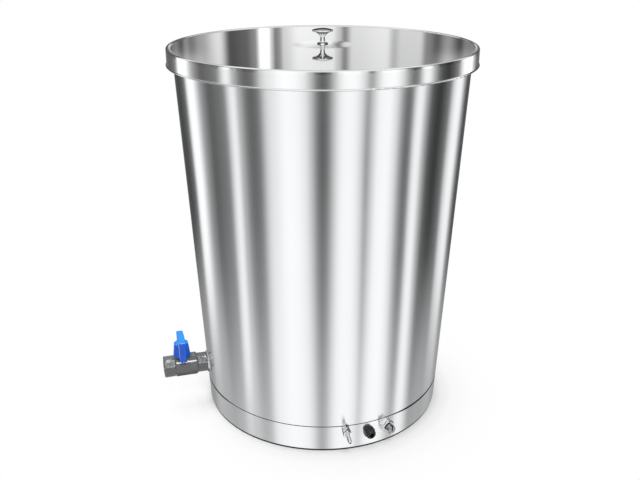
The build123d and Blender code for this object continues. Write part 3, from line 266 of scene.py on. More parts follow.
# %% Row of cards behind the lid
LID_HALF = 15
LID_CARDS = [
    (-15, 0.10), (-10.8, 0.08), (-10.4, 0.16), (-10.0, 0.06), (-9.65, 0.20), (-9.3, 0.13),
    (-8.6, 0.26), (-7.3, 0.57), (-6.5, 0.06), (-5.4, 0.09), (-4.7, 0.19), (-4.2, 1.00),
    (-3.8, 0.90), (-3.45, 0.40), (-3.25, 0.15), (-2.95, 0.22), (-2.6, 0.50), (-1.5, 0.68),
    (0.9, 0.64), (1.35, 0.44), (1.8, 0.18), (2.4, 0.54), (4.8, 0.62), (5.4, 0.36), (5.9, 0.49),
    (7.2, 0.50), (7.75, 0.18), (8.45, 0.08), (9.2, 0.23), (10.1, 0.05), (10.5, 0.16), (15, 0.10),
]
LID_HEIGHTS = [(0, 1.00), (0.10, 0.96), (0.185, 0.88), (0.22, 0.45), (0.29, 0.16), (1, 0.12)]
SIDE_TURNS = (radians(7.5), radians(9.5))
SIDE_HEIGHTS, SIDE_LIFT = (0.142, 0.162), 0.22
LID_GAIN = 1.22

lid_place = room.span(front_turn, radians(-LID_HALF), radians(LID_HALF))
lid_card = room.ramp(lid_place, [((angle + LID_HALF) / (2 * LID_HALF), level)
                                 for angle, level in LID_CARDS])
lid_row = room.math("MULTIPLY", lid_card, room.ramp(height, LID_HEIGHTS))
side_lift = room.math("MULTIPLY", room.span(outwards, *SIDE_TURNS, smooth=True),
                      room.span(height, *SIDE_HEIGHTS, 0.0, SIDE_LIFT, smooth=True))
lid_tone = room.math("MULTIPLY", room.math("ADD", lid_row, side_lift), LID_GAIN)
print("cards behind the lid", len(LID_CARDS))

# %% [markdown]
# ## Soft boxes overhead
#
# Round forms such as the knob, the lid's edge and the fittings see the whole upper room. It could
# be one white dome, but chrome under a dome has no form. So a soft box hangs high up, another on
# the camera's side, the room is white behind the camera, and between them it is dark. A ray that
# has met three or more mirrors sees the darker far end of the room, which gives the knob's image
# in the lid a dark foot.

# %% Upper room
SKY = [(0, 0.08), (0.30, 0.08), (0.43, 0.12), (0.49, 0.62), (0.60, 0.58), (0.68, 0.50),
       (0.78, 0.95), (0.86, 0.84), (0.94, 0.60), (1, 0.50)]
NEAR_SKY = [(0, 0.10), (0.46, 0.12), (0.53, 0.86), (0.80, 0.94), (0.90, 0.78), (1, 0.50)]
FACING_CARDS = [(0, 1.00), (32, 0.92), (45, 0.12), (110, 0.05), (180, 0.08)]
FAR_END_CARDS = [(0, 1.00), (46, 0.95), (64, 0.10), (180, 0.04)]
LID_TOP, FACING_TOP = (0.20, 0.29), (0.19, 0.24)
NEAR_BOX, FAR_END_TOP = (0.40, 0.52), (0.80, 0.92)
NEAR_TURNS = (0.30, 0.45)
ASIDE_TURNS = (radians(12), radians(16))
THREE_MIRRORS = 3.5    # a ray's depth counts the ray itself too, so three mirrors make four

sky = room.ramp(height, SKY)
far_side = room.blend(room.span(height, *LID_TOP, smooth=True), lid_tone, sky)
facing_light = room.blend(room.span(height, *FACING_TOP, smooth=True),
                          round_cards(turned_away, FACING_CARDS), wall_card)
near_sky = room.blend(room.span(turned_away, *NEAR_TURNS, smooth=True),
                      room.ramp(height, NEAR_SKY), sky)
near_side = room.blend(room.span(height, *NEAR_BOX, smooth=True), facing_light, near_sky)
third_mirror = room.math("MULTIPLY", room.math("GREATER_THAN", path["Ray Depth"], THREE_MIRRORS),
                         room.span(height, *FAR_END_TOP, 1.0, 0.0, smooth=True))
around_lid = room.blend(third_mirror, near_side, round_cards(turned_away, FAR_END_CARDS))
lid_light = room.blend(room.span(outwards, *ASIDE_TURNS, smooth=True), far_side, around_lid)
print("soft boxes from height", NEAR_BOX[0])

# %% [markdown]
# ## Who sees the cards
#
# One world could light everything, but then the cards would set the shade of the plastic too. A
# light path tells the rays apart: the camera sees plain white, mirror rays see the cards, and a
# matt surface gets an even grey. The cards' white is a little above 1, because steel sends back
# only four fifths.

# %% Join the room
HORIZON = (-0.02, 0.05)
CARD_WHITE = 1.25
AMBIENT = (0.17, 0.17, 0.173, 1)
WHITE = (1, 1, 1, 1)

cards = room.blend(room.span(height, *HORIZON, smooth=True), wall_light, lid_light)
scaled = room.node("VectorMath", {0: cards, "Scale": CARD_WHITE}, operation="SCALE")
mirrored = room.math("MAXIMUM", path["Is Glossy Ray"], path["Is Transmission Ray"])
unseen = room.blend(mirrored, AMBIENT, scaled.outputs[0])
seen = room.blend(path["Is Camera Ray"], unseen, WHITE)
backdrop = room.node("Background", {"Color": seen, "Strength": 1.0})
room.node("OutputWorld", {"Surface": backdrop.outputs[0]})
print("room of", len(world.node_tree.nodes), "nodes")

# %% [markdown]
# ## Floor
#
# The tank stands on white paper with a soft shadow round its foot. Lit up to white, the paper
# would throw too much light at the tank, so it is pale. To the camera alone it glows a little,
# and from the foot outwards it fades to plain white.

# %% Floor
FLOOR_SIZE = 12.0
FLOOR_GLOW = 0.33
PAPER = (0.66, 0.66, 0.66, 1)
SWEEP_START, SWEEP_END = 0.20, 0.36
SWEEP = [(0, 0.00), (0.09, 0.10), (0.20, 0.55), (0.32, 0.80), (0.60, 0.93), (1, 1.00)]


def new_material(name):
    """A material and the empty graph of its nodes."""
    material = bpy.data.materials.new(name)
    material.use_nodes = True
    return material, Graph(material.node_tree)


def spot(graph):
    """The place on a piece, in metres from the frame's origin."""
    return graph.node("TexCoord").outputs["Object"]


def flat_sheet(name, size):
    """Square sheet on the ground: (u, v) -> (u, v, 0)."""
    half = size / 2
    mesh = bpy.data.meshes.new(name)
    mesh.from_pydata([(-half, -half, 0), (half, -half, 0), (half, half, 0), (-half, half, 0)], [],
                     [(0, 1, 2, 3)])
    made = bpy.data.objects.new(name, mesh)
    scene.collection.objects.link(made)
    return made


floor = flat_sheet("floor", FLOOR_SIZE)
floor.visible_glossy = False
floor_sheet, ground = new_material("floor_sheet")
paper = ground.node("BsdfDiffuse", {"Color": PAPER}).outputs[0]
glow = ground.node("Emission", {"Color": WHITE, "Strength": FLOOR_GLOW}).outputs[0]
bright = ground.node("AddShader", {0: paper, 1: glow}).outputs[0]
away = ground.node("VectorMath", {0: spot(ground)}, operation="LENGTH").outputs["Value"]
sweep = ground.node("Emission", {"Color": WHITE, "Strength": 1.0}).outputs[0]
far = ground.ramp(ground.span(away, SWEEP_START, SWEEP_END), SWEEP)
pale = ground.node("MixShader", {0: far, 1: bright, 2: sweep}).outputs[0]
to_camera = ground.node("LightPath").outputs["Is Camera Ray"]
face = ground.node("MixShader", {0: to_camera, 1: paper, 2: pale}).outputs[0]
ground.node("OutputMaterial", {"Surface": face})
floor.data.materials.append(floor_sheet)
print("floor", FLOOR_SIZE, "m across")

# %% [markdown]
# ## Lamps
#
# Three large soft lamps stand in front, on the left and above, at the level where a colour comes
# out about as it is written. One bare lamp would do for the light, but its shadow would be hard.
# Only the key lamp in front is mirrored, as the glint on the plastic valve.

# %% Lamps: place, width, watts, and whether glossy surfaces mirror it
LAMPS = {
    "lamp_key": ((-0.07, -1.88, 2.40), 0.7, 27.0, True),
    "lamp_left": ((-2.2, -0.9, 1.5), 1.2, 5.0, False),
    "lamp_top": ((-0.2, 0.3, 2.9), 1.6, 80.0, False),
}
LAMP_AIM = (0.0, 0.0, 0.25)
for name, (place, width, watts, in_mirrors) in LAMPS.items():
    light = bpy.data.lights.new(name, "AREA")
    light.shape = "DISK"
    light.size = width
    light.energy = watts
    lamp = bpy.data.objects.new(name, light)
    lamp.location = place
    lamp.visible_glossy = in_mirrors
    beam = Vector(LAMP_AIM) - Vector(place)
    lamp.rotation_euler = beam.to_track_quat("-Z", "Y").to_euler()
    scene.collection.objects.link(lamp)
print("lamps", list(LAMPS))

# %% [markdown]
# ## Working marks
#
# Sheet is brushed along one direction, a turned part has rings, and a plated or cast one has an
# even grain. Pictures of scratches could be laid on, but they need a fitting map for each piece.
# Noise in object space has the right scale on every piece, and stretching it gives the marks a
# direction.

# %% Marks as noise


def grain(graph, scale, detail=3.0, distortion=0.0):
    """Noise in object space, with its own scale along each axis, in cells per metre."""
    stretched = graph.node("Mapping", {"Vector": spot(graph), "Scale": scale}).outputs[0]
    noise = graph.node("TexNoise", {"Vector": stretched, "Scale": 1.0, "Detail": detail,
                                    "Distortion": distortion})
    return noise.outputs["Fac"]


def even(per_metre, detail=4.0):
    """Marks without a direction."""
    return lambda graph: grain(graph, (per_metre,) * 3, detail)


def brushed(around, upwards):
    """Marks that run round the tank: few cells per metre around it, many up the wall."""
    return lambda graph: grain(graph, (around, around, upwards))


def turned(per_metre):
    """Lathe marks: noise of the distance from the tank's axis, sqrt(x^2 + y^2), and the height."""
    def rings(graph):
        x, y, z = graph.node("SeparateXYZ", {0: spot(graph)}).outputs
        square = graph.math("ADD", graph.math("MULTIPLY", x, x), graph.math("MULTIPLY", y, y))
        radius = graph.math("SQRT", square)
        spread = graph.node("CombineXYZ", {"X": radius, "Z": z}).outputs[0]
        noise = graph.node("TexNoise", {"Vector": spread, "Scale": per_metre, "Detail": 2.0})
        return noise.outputs["Fac"]
    return rings


print("marks ready")

# %% [markdown]
# ## Metals
#
# Each metal is one smooth conductor. It could be a plain grey mirror, but handled metal has faint
# smudges, and its working marks move the roughness a little and tilt the surface by less than a
# hundredth of a millimetre. At a glancing angle an ideal metal mirrors everything; worked metal
# sends back less, so an edge tint keeps its outline dark.

# %% Metal recipe
MOST_NOISE, MID_NOISE = (0.3, 0.7), (0.35, 0.65)    # where most of a noise's values lie
SMUDGE_TONE = 0.97
MARK_STRENGTH = 0.5
# Painted shade: the dark tone and roughness that a shaded zone takes.
SHADE_TONE, SHADE_ROUGHNESS = (0.04, 0.04, 0.04, 1), 0.7
SATIN_ROUGHNESS = 0.10


def opaque(colour, share=1.0):
    """A colour times a share, with the fourth number that sockets want."""
    return tuple(min(1.0, part * share) for part in colour) + (1,)


def metal(name, colour, roughness, marks, depth, vary=0.04, smudge=5.0, anisotropic=0.0, turn=0.0,
          painted_shade=None, satin=None, edge=1.0):
    """Metal with working marks of a depth in metres, smudges of so many cells per metre, and zones
    of painted shade and satin. Marks and zones are functions of the graph; edge is the share of
    light that is left at a glancing angle."""
    material, graph = new_material(name)
    lines = marks(graph)
    cloud = even(smudge)(graph)
    rough = graph.math("ADD", graph.span(lines, *MOST_NOISE, roughness - vary, roughness + vary),
                       graph.span(cloud, *MID_NOISE, -vary / 2, vary / 2))
    tone = graph.blend(graph.span(cloud, *MOST_NOISE), opaque(colour, SMUDGE_TONE),
                       opaque(colour))
    # Painted shade: where the zone is 1, the metal takes the dark tone in place of its own.
    if painted_shade:
        shaded = painted_shade(graph)
        tone = graph.blend(shaded, tone, SHADE_TONE)
        rough = graph.math("MAXIMUM", rough, graph.math("MULTIPLY", shaded, SHADE_ROUGHNESS))
    if satin:
        dulled = graph.math("MULTIPLY", satin(graph), SATIN_ROUGHNESS)
        rough = graph.math("ADD", rough, dulled)
    bump = graph.node("Bump", {"Height": lines, "Strength": MARK_STRENGTH, "Distance": depth})
    inputs = {"Base Color": tone, "Metallic": 1.0, "Roughness": rough, "Normal": bump.outputs[0],
              "Specular Tint": (edge, edge, edge, 1)}
    if anisotropic:
        around = graph.node("Tangent", direction_type="RADIAL", axis="Z").outputs[0]
        inputs.update({"Anisotropic": anisotropic, "Anisotropic Rotation": turn, "Tangent": around})
    surface = graph.node("BsdfPrincipled", inputs).outputs[0]
    graph.node("OutputMaterial", {"Surface": surface})
    return material


print("metal recipe ready")

# %% [markdown]
# ## Wall and skirt
#
# Wall and skirt are of one brushed sheet. Where the skirt steps in under the shell, the finish is
# painted dark as painted shade in the step: a fine line at the front and a broader one at the
# sides. It could be a dark ring of its own, but a painted zone in the finish follows the step
# without another piece.

# %% Brushed sheet, plain and with painted shade at the seam
# The numbers below place painted shade in the step under the shell: thin at the front, broad at the
# sides.
SEAM_STEP, SEAM_EASE = 0.0013, 1e-4
SEAM_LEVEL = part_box("outer_shell")[0].z - SEAM_STEP
SEAM_FRONT_TURN = radians(-23)
SEAM_FRONT = (sin(SEAM_FRONT_TURN), -cos(SEAM_FRONT_TURN), 0)
SEAM_FRONT_FROM, SEAM_FRONT_TO = 0.138, 0.174
FRONT_SHADE_DEPTH, SIDE_SHADE_DEPTH = 0.0002, 0.0026
SHEET = {"colour": (0.79, 0.80, 0.81), "roughness": 0.17, "marks": brushed(9, 1300), "depth": 4e-7,
         "vary": 0.012, "anisotropic": 0.6, "turn": 0.25, "edge": 0.55}


def seam_shade(graph):
    """1 above the seam's level less the depth of the painted shade, which is smaller towards the
    front.
    """
    place = spot(graph)
    shade_depth = graph.span(graph.dot(place, SEAM_FRONT), SEAM_FRONT_FROM, SEAM_FRONT_TO, SIDE_SHADE_DEPTH, FRONT_SHADE_DEPTH,
                       smooth=True)
    level = graph.node("SeparateXYZ", {0: place}).outputs["Z"]
    return graph.span(graph.math("ADD", level, shade_depth), SEAM_LEVEL - SEAM_EASE,
                      SEAM_LEVEL + SEAM_EASE)


brushed_steel = metal("brushed_steel", **SHEET)
# The skirt carries the painted shade in its seam step.
skirt_steel = metal("skirt_steel", painted_shade=seam_shade, **SHEET)
print("seam at", round(SEAM_LEVEL * 1000, 1), "mm")

# %% [markdown]
# ## Lid
#
# The lid is one pressed sheet: a mirror panel, and a band turned down from its edge, which is
# satin in the photograph. It could be two pieces with two finishes; as it is one sheet, one
# finish changes with the height instead.

# %% Mirror sheet, plain and with a satin band
BAND_DROP, BAND_EASE = 0.004, 0.002
BAND_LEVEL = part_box("lid")[1].z - BAND_DROP
MIRROR = {"colour": (0.83, 0.835, 0.84), "marks": turned(700), "depth": 4e-7, "vary": 0.015}


def lid_band(graph):
    """0 on the mirror panel, 1 on the band that turns down from its edge."""
    level = graph.node("SeparateXYZ", {0: spot(graph)}).outputs["Z"]
    return graph.span(level, BAND_LEVEL, BAND_LEVEL - BAND_EASE)


polished_steel = metal("polished_steel", roughness=0.055, **MIRROR)
lid_steel = metal("lid_steel", roughness=0.05, satin=lid_band, **MIRROR)
print("band from", round(BAND_LEVEL * 1000, 1), "mm down")

# %% [markdown]
# ## Other metals
#
# Bright chrome on the fittings and the knob, dull zinc on hidden screws, satin inside the vessel,
# an oxidised heater, drawn copper and the silver of a cleaned weld. Each could have a graph of
# its own; the one recipe with other numbers keeps them alike in detail.

# %% Chrome, zinc, satin, sheath, copper and weld
collar_steel = metal("collar_steel", (0.56, 0.56, 0.555), 0.16, even(600), 2e-6, vary=0.05,
                     smudge=90, edge=0.3)
spindle_steel = metal("spindle_steel", (0.40, 0.41, 0.42), 0.24, even(900), 2e-6, vary=0.05,
                      smudge=80)
vessel_steel = metal("vessel_steel", (0.78, 0.78, 0.775), 0.30, brushed(40, 600), 3e-6,
                     anisotropic=0.4, turn=0.25)
plated_steel = metal("plated_steel", (0.62, 0.63, 0.645), 0.34, even(900, 5.0), 4e-6, vary=0.08)
bright_chrome = metal("bright_chrome", (0.86, 0.865, 0.87), 0.07, even(700), 4e-7, vary=0.02,
                      smudge=60, edge=0.10)
heater_sheath = metal("heater_sheath", (0.36, 0.33, 0.30), 0.42, even(220, 6.0), 6e-6, vary=0.10,
                      smudge=40)
copper = metal("copper", (0.78, 0.46, 0.33), 0.26, even(500), 3e-6, vary=0.08, smudge=80)
weld_steel = metal("weld_steel", (0.75, 0.745, 0.73), 0.22, even(1400), 3e-6, vary=0.06,
                   smudge=200)
print("metals made")

# %% [markdown]
# ## Plastics, rubber and ceramic
#
# A moulded part has a fine skin: a shallow grain from the tool, a slow drift of colour where the
# melt flowed, and a roughness that follows both. The valve's thick flats sink a little as they
# cool, and the top of its handle is painted paler, as painted light from above. These could be
# modelled or painted; noise and the direction of the surface give them on any shape. Rubber is the
# same recipe with more grain and less shine.

# %% Moulded recipe
DRIFT_CELLS, DRIFT_TWIST = 30, 0.6
SKIN_VARY, DRIFT_VARY = 0.05, 0.03
SKIN_STRENGTH = 0.6
# Upward share of the normal over which the painted top light comes in.
TOP_LIGHT_FROM, TOP_LIGHT_TO = 0.35, 0.75
COAT_ROUGHNESS = 0.12


def moulded(name, colour, roughness, skin, depth, drift=0.10, coat=0.0, specular=0.5, painted_top_light=None,
            sink=0.0):
    """Moulded part with a grainy skin of so many cells per metre and a slow drift of colour. Its
    upper faces may get a paler colour as painted light from above, and its flats may sink by a
    depth in metres."""
    material, graph = new_material(name)
    fine = even(skin)(graph)
    slow = grain(graph, (skin / DRIFT_CELLS,) * 3, distortion=DRIFT_TWIST)
    tone = graph.blend(graph.span(slow, *MID_NOISE), opaque(colour, 1 - drift),
                       opaque(colour, 1 + drift))
    # Painted light: faces that turn upwards get the paler colour, standing in for light from above.
    if painted_top_light:
        normal = graph.node("NewGeometry").outputs["Normal"]
        upward = graph.node("SeparateXYZ", {0: normal}).outputs["Z"]
        lit_top = graph.span(upward, TOP_LIGHT_FROM, TOP_LIGHT_TO, smooth=True)
        tone = graph.blend(lit_top, tone, opaque(painted_top_light))
    skin_rough = graph.span(fine, *MOST_NOISE, roughness - SKIN_VARY, roughness + SKIN_VARY)
    rough = graph.math("ADD", skin_rough, graph.span(slow, *MOST_NOISE, -DRIFT_VARY, DRIFT_VARY))
    relief = {"Height": fine, "Strength": SKIN_STRENGTH, "Distance": depth}
    if sink:
        hollow = graph.node("Bump", {"Height": slow, "Strength": 1.0, "Distance": sink})
        relief["Normal"] = hollow.outputs[0]
    bump = graph.node("Bump", relief).outputs[0]
    inputs = {"Base Color": tone, "Roughness": rough, "Normal": bump,
              "Specular IOR Level": specular}
    if coat:
        inputs.update({"Coat Weight": coat, "Coat Roughness": COAT_ROUGHNESS})
    surface = graph.node("BsdfPrincipled", inputs).outputs[0]
    graph.node("OutputMaterial", {"Surface": surface})
    return material


print("moulded recipe ready")

# %% [markdown]
# ## Moulded finishes
#
# Grey pipe plastic and a blue handle on the valve, black nylon on the cable gland, black rubber
# under the foot, and what the skirt hides: seats, gasket, thermostat case, beads and sleeved
# leads. Plain colours would do for the hidden ones, but a tank in a library may be opened up.

# %% Plastics, rubber and ceramic
grey_pvc = moulded("grey_pvc", (0.145, 0.152, 0.154), 0.15, 1500, 3e-6, sink=4e-4)
# The handle's paler top is painted light.
blue_plastic = moulded("blue_plastic", (0.0005, 0.13, 0.84), 0.22, 1500, 3e-6, drift=0.06,
                       specular=0.4, painted_top_light=(0.02, 0.32, 0.95))
white_polymer = moulded("white_polymer", (0.80, 0.79, 0.75), 0.42, 1200, 8e-6, drift=0.03)
black_nylon = moulded("black_nylon", (0.008, 0.008, 0.009), 0.32, 1800, 1e-5)
black_rubber = moulded("black_rubber", (0.022, 0.022, 0.023), 0.62, 2200, 3e-5)
red_silicone = moulded("red_silicone", (0.36, 0.07, 0.05), 0.55, 1200, 1e-5)
black_phenolic = moulded("black_phenolic", (0.03, 0.028, 0.026), 0.40, 900, 1e-5, drift=0.2)
ceramic = moulded("ceramic", (0.78, 0.75, 0.68), 0.25, 700, 6e-6, drift=0.04, coat=0.4)
lead_sleeve = moulded("lead_sleeve", (0.45, 0.06, 0.045), 0.45, 1500, 8e-6)
print("moulded materials made")

# %% [markdown]
# ## Which finish goes where
#
# The record names a finish for each solid, so the table is one line for each finish, and not one
# for each solid. Four solids have a finish of their own: the skirt with painted shade at its seam,
# the lid with its satin band, and the duller spindle and wall collar.

# %% Put the finishes on the solids
FINISHES = {
    "brushed_steel": brushed_steel, "polished_steel": polished_steel, "vessel_steel": vessel_steel,
    "plated_steel": plated_steel, "bright_chrome": bright_chrome, "grey_pvc": grey_pvc,
    "blue_plastic": blue_plastic, "white_polymer": white_polymer, "black_nylon": black_nylon,
    "black_rubber": black_rubber, "red_silicone": red_silicone, "black_phenolic": black_phenolic,
    "heater_sheath": heater_sheath, "ceramic": ceramic, "copper": copper,
    "lead_sleeve": lead_sleeve,
}
OWN_FINISH = {"base_skirt": skirt_steel, "lid": lid_steel, "thermostat_spindle": spindle_steel,
              "wall_collar": collar_steel}
SUBPARTS = frame["record"]["subparts"]
for part in SUBPARTS:
    finish = OWN_FINISH.get(part["node"], FINISHES[part["material_slot"]])
    for place in frame["nodes"][part["node"]].material_slots:
        place.material = finish
print("finished solids", len(SUBPARTS))

# %% [markdown]
# ## Valve out of the mirror
#
# In a wall as smooth as this one, the dark valve would stand beside itself as a loose blob, which
# the photograph does not show. A rougher wall would blur it away together with the streaks, so
# the valve is hidden from mirror rays instead.

# %% Hide the valve from mirror rays
VALVE = ("valve_handle", "valve_stem", "stem_o_rings", "valve_body", "valve_end_connector",
         "valve_ball", "ball_seats")
for name in VALVE:
    frame["nodes"][name].visible_glossy = False
print("hidden from mirrors", len(VALVE))

# %% [markdown]
# ## Small forms as grids of points
#
# A weld bead or a screw head is a surface with two parameters: how far along it, and how far
# round. It could be drawn as a bevelled curve or a turned edge; a grid of points gives both. One
# helper turns it into a mesh. Rows that shrink to a point close the ends, and doubles are merged
# there, so that every piece is a closed shell with its faces outwards.

# %% Grid helper
MERGE = 1e-7
PIECES = []


def grid_piece(name, points, body, finish, loop=False):
    """Mesh from points (shells, rows, round, 3): each row closes on itself, and the last row meets
    the first where loop is set."""
    shells, rows, columns = points.shape[:3]
    index = np.arange(rows * columns).reshape(rows, columns)
    index = np.concatenate([index, index[:, :1]], axis=1)
    if loop:
        index = np.concatenate([index, index[:1]], axis=0)
    quads = np.stack([index[:-1, :-1], index[:-1, 1:], index[1:, 1:], index[1:, :-1]], axis=-1)
    faces = quads.reshape(1, -1, 4) + np.arange(shells)[:, None, None] * rows * columns
    mesh = bpy.data.meshes.new(name)
    mesh.from_pydata(points.reshape(-1, 3).tolist(), [], faces.reshape(-1, 4).tolist())
    form = bmesh.new()
    form.from_mesh(mesh)
    bmesh.ops.remove_doubles(form, verts=form.verts, dist=MERGE)
    bmesh.ops.recalc_face_normals(form, faces=form.faces)
    form.to_mesh(mesh)
    form.free()
    mesh.shade_smooth()
    mesh.materials.append(finish)
    piece = bpy.data.objects.new(name, mesh)
    scene.collection.objects.link(piece)
    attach(piece, body)
    PIECES.append(piece)
    print(name, len(mesh.polygons), "faces")
    return piece


print("grid helper ready")

# %% [markdown]
# ## Welds
#
# The collar is welded to the wall, the floor and the outlet pipe are welded into the vessel, and
# each rolled sheet is closed by one long weld at the back. A bead laid by hand has a ripple for
# each drop of filler. It could be painted as bump, but its edge catches light, so it is a section
# carried along the joint: the joint's line follows from the wall's cone, and the section swells
# with the ripple.

# %% Wall cone and bead section
WALL_LEAN = radians(2.63)
SHELL_LOW, SHELL_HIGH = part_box("outer_shell")
ROUND = np.linspace(0, 2 * pi, 14, endpoint=False)
DROP_PITCH = 0.0014
DROP_SWELL = 0.10


def wall_radius(level):
    """Outer radius of the tapered wall at a level: it grows with the tangent of the lean."""
    return SHELL_HIGH.x - (SHELL_HIGH.z - level) * tan(WALL_LEAN)


def bead(joint, width, proud):
    """Ellipse of half-axes width (along aside) and proud (along out), carried along a joint's line
    and scaled by its swell at each point."""
    line, aside, out, swell = joint
    flat = np.cos(ROUND)[None, :, None] * aside[:, None, :] * width
    raised = np.sin(ROUND)[None, :, None] * out[:, None, :] * proud
    return (line[:, None, :] + (flat + raised) * swell[:, None, None])[None]


def stacked(*columns):
    """Vectors from their three columns, brought to the same length."""
    return np.stack(np.broadcast_arrays(*columns), axis=-1).astype(float)


def unit(vectors):
    """Vectors divided by their lengths."""
    return vectors / np.linalg.norm(vectors, axis=-1, keepdims=True)


print("wall radius at the seam", round(wall_radius(SHELL_LOW.z) * 1000, 1), "mm")

# %% [markdown]
# ## Weld round the collar
#
# The collar is a ring on the round wall, so its weld is a saddle and not a flat circle. It could
# be projected onto the wall; the crossing of a pipe and a cone has a formula, which needs no
# search.

# %% Collar weld
COLLAR_LOW, COLLAR_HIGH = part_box("wall_collar")
COLLAR_RADIUS = (COLLAR_HIGH.y - COLLAR_LOW.y) / 2
OUTLET_LEVEL = (COLLAR_HIGH.z + COLLAR_LOW.z) / 2
COLLAR_BEAD = 0.0012
DROP_POINTS = 6


def saddle(radius, inset):
    """Line where a pipe along -X of that radius meets the cone of the wall, moved in by inset:
    round the pipe by angle t, y = radius cos t, level = outlet + radius sin t, and
    x = -sqrt(wall^2 - y^2)."""
    drops = int(2 * pi * radius / DROP_PITCH)
    t = np.linspace(0, 2 * pi, drops * DROP_POINTS, endpoint=False)
    y = radius * np.cos(t)
    z = OUTLET_LEVEL + radius * np.sin(t)
    x = -np.sqrt((wall_radius(z) - inset) ** 2 - y ** 2)
    away = stacked(0.0, np.cos(t), np.sin(t))
    normal = unit(stacked(x, y, -np.hypot(x, y) * tan(WALL_LEAN)))
    return stacked(x, y, z), away, normal, 1 + DROP_SWELL * np.sin(drops * t)


collar_bead = bead(saddle(COLLAR_RADIUS, 0.0), COLLAR_BEAD, COLLAR_BEAD)
grid_piece("collar_weld", collar_bead, "tank", weld_steel, loop=True)

# %% [markdown]
# ## Long welds at the back
#
# A sheet rolled to a cone is closed by one weld up its side. The photograph shows none, so it is
# at the back. Ground nearly flush, it is a broad, low bead. A line in the finish would be lost in
# the mesh, so a section runs up the wall and shrinks to a point at both ends.

# %% Shell and skirt welds
BACK = pi / 2
SKIRT_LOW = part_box("base_skirt")[0].z
SEAM_WIDTH, SEAM_PROUD = 0.0024, 0.0003
SEAM_CLEAR, END_CLEAR = 0.0005, 0.004
TAPER = 0.004
LONG_POINTS = 5


def long_weld(turn, low, high):
    """Line up the wall at one turn round the tank, tapering to a point at both ends."""
    count = int((high - low) / DROP_PITCH) * LONG_POINTS
    z = np.linspace(low, high, count)
    r = wall_radius(z)
    line = stacked(r * cos(turn), r * sin(turn), z)
    aside = stacked(np.full(count, -sin(turn)), cos(turn), 0.0)
    out = unit(stacked(np.full(count, cos(turn)), sin(turn), -tan(WALL_LEAN)))
    taper = np.sqrt(np.clip(np.minimum(z - low, high - z) / TAPER, 0, 1))
    swell = taper * (1 + DROP_SWELL * np.sin(2 * pi * (z - low) / DROP_PITCH))
    return line, aside, out, swell


LONG_WELDS = {"shell_weld": (SHELL_LOW.z + SEAM_CLEAR, SHELL_HIGH.z - END_CLEAR),
              "skirt_weld": (SKIRT_LOW + END_CLEAR, SEAM_LEVEL - SEAM_CLEAR)}
for name, (low, high) in LONG_WELDS.items():
    long_bead = bead(long_weld(BACK, low, high), SEAM_WIDTH, SEAM_PROUD)
    grid_piece(name, long_bead, "tank", weld_steel)

# %% [markdown]
# ## Welds inside the vessel
#
# The vessel's floor falls towards the outlet, so its edge on the cone is a tilted oval, and the
# outlet's pipe meets the inner wall in another saddle. The oval could be solved as a conic; going
# to and fro between level and radius a few times gives it as well and is shorter.

# %% Floor and outlet welds
FLOOR_FALL = radians(2.5)
FLOOR_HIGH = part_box("vessel_floor")[1]
VESSEL_INSET = wall_radius(FLOOR_HIGH.z) - FLOOR_HIGH.x
NIPPLE_LOW, NIPPLE_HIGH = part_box("outlet_nipple")
NIPPLE_RADIUS = (NIPPLE_HIGH.y - NIPPLE_LOW.y) / 2
FLOOR_BEAD, OUTLET_BEAD = 0.0018, 0.0013
FLOOR_PITCH = 2 * DROP_PITCH
ROUNDS = 6


def floor_edge():
    """Line where the sloping floor meets the vessel's cone: the level rises with x by the floor's
    fall, and the radius follows from the level, so the two are worked out in turn until they
    agree."""
    drops = int(2 * pi * FLOOR_HIGH.x / FLOOR_PITCH)
    t = np.linspace(0, 2 * pi, drops * DROP_POINTS, endpoint=False)
    z = np.full(t.shape, FLOOR_HIGH.z)
    for _ in range(ROUNDS):
        x = (wall_radius(z) - VESSEL_INSET) * np.cos(t)
        z = FLOOR_HIGH.z - (FLOOR_HIGH.x - x) * tan(FLOOR_FALL)
    r = wall_radius(z) - VESSEL_INSET
    inwards = stacked(-np.cos(t), -np.sin(t), 0.0)
    up = stacked(np.full(t.shape, -sin(FLOOR_FALL)), 0.0, cos(FLOOR_FALL))
    line = stacked(r * np.cos(t), r * np.sin(t), z)
    return line, inwards, up, 1 + DROP_SWELL * np.sin(drops * t)


VESSEL_WELDS = {"floor_weld": (floor_edge(), FLOOR_BEAD),
                "outlet_weld": (saddle(NIPPLE_RADIUS, VESSEL_INSET), OUTLET_BEAD)}
for name, (joint, size) in VESSEL_WELDS.items():
    grid_piece(name, bead(joint, size, size), "tank", weld_steel, loop=True)

# %% [markdown]
# ## Screw heads
#
# The plate under the tank and the knob are held by cross-recessed screws. The solids have plain
# heads; here a profile is turned round the screw's axis, and the face is pushed in where the
# cross lies. A boolean cut would also do it, but pushing points keeps one clean grid for each
# screw.

# %% Profile of a screw with a cross recess
FACE_ROWS = 26
TURNS = np.linspace(0, 2 * pi, 72, endpoint=False)
CROWN, RECESS_DEPTH = 0.28, 0.55                    # shares of the head's height
ARM_LENGTH, ARM_HALF, ARM_BEVEL = 0.52, 0.13, 0.06  # shares of the head's radius


def recess(x, y, arm, half, bevel):
    """How far in, from 0 to 1: two bars of half-width half and half-length arm, crossed, with
    sloped walls."""
    def bar(p, q):
        return (np.clip((half - np.abs(p)) / bevel + 1, 0, 1)
                * np.clip((arm - np.abs(q)) / bevel + 1, 0, 1))
    return np.maximum(bar(x, y), bar(y, x))


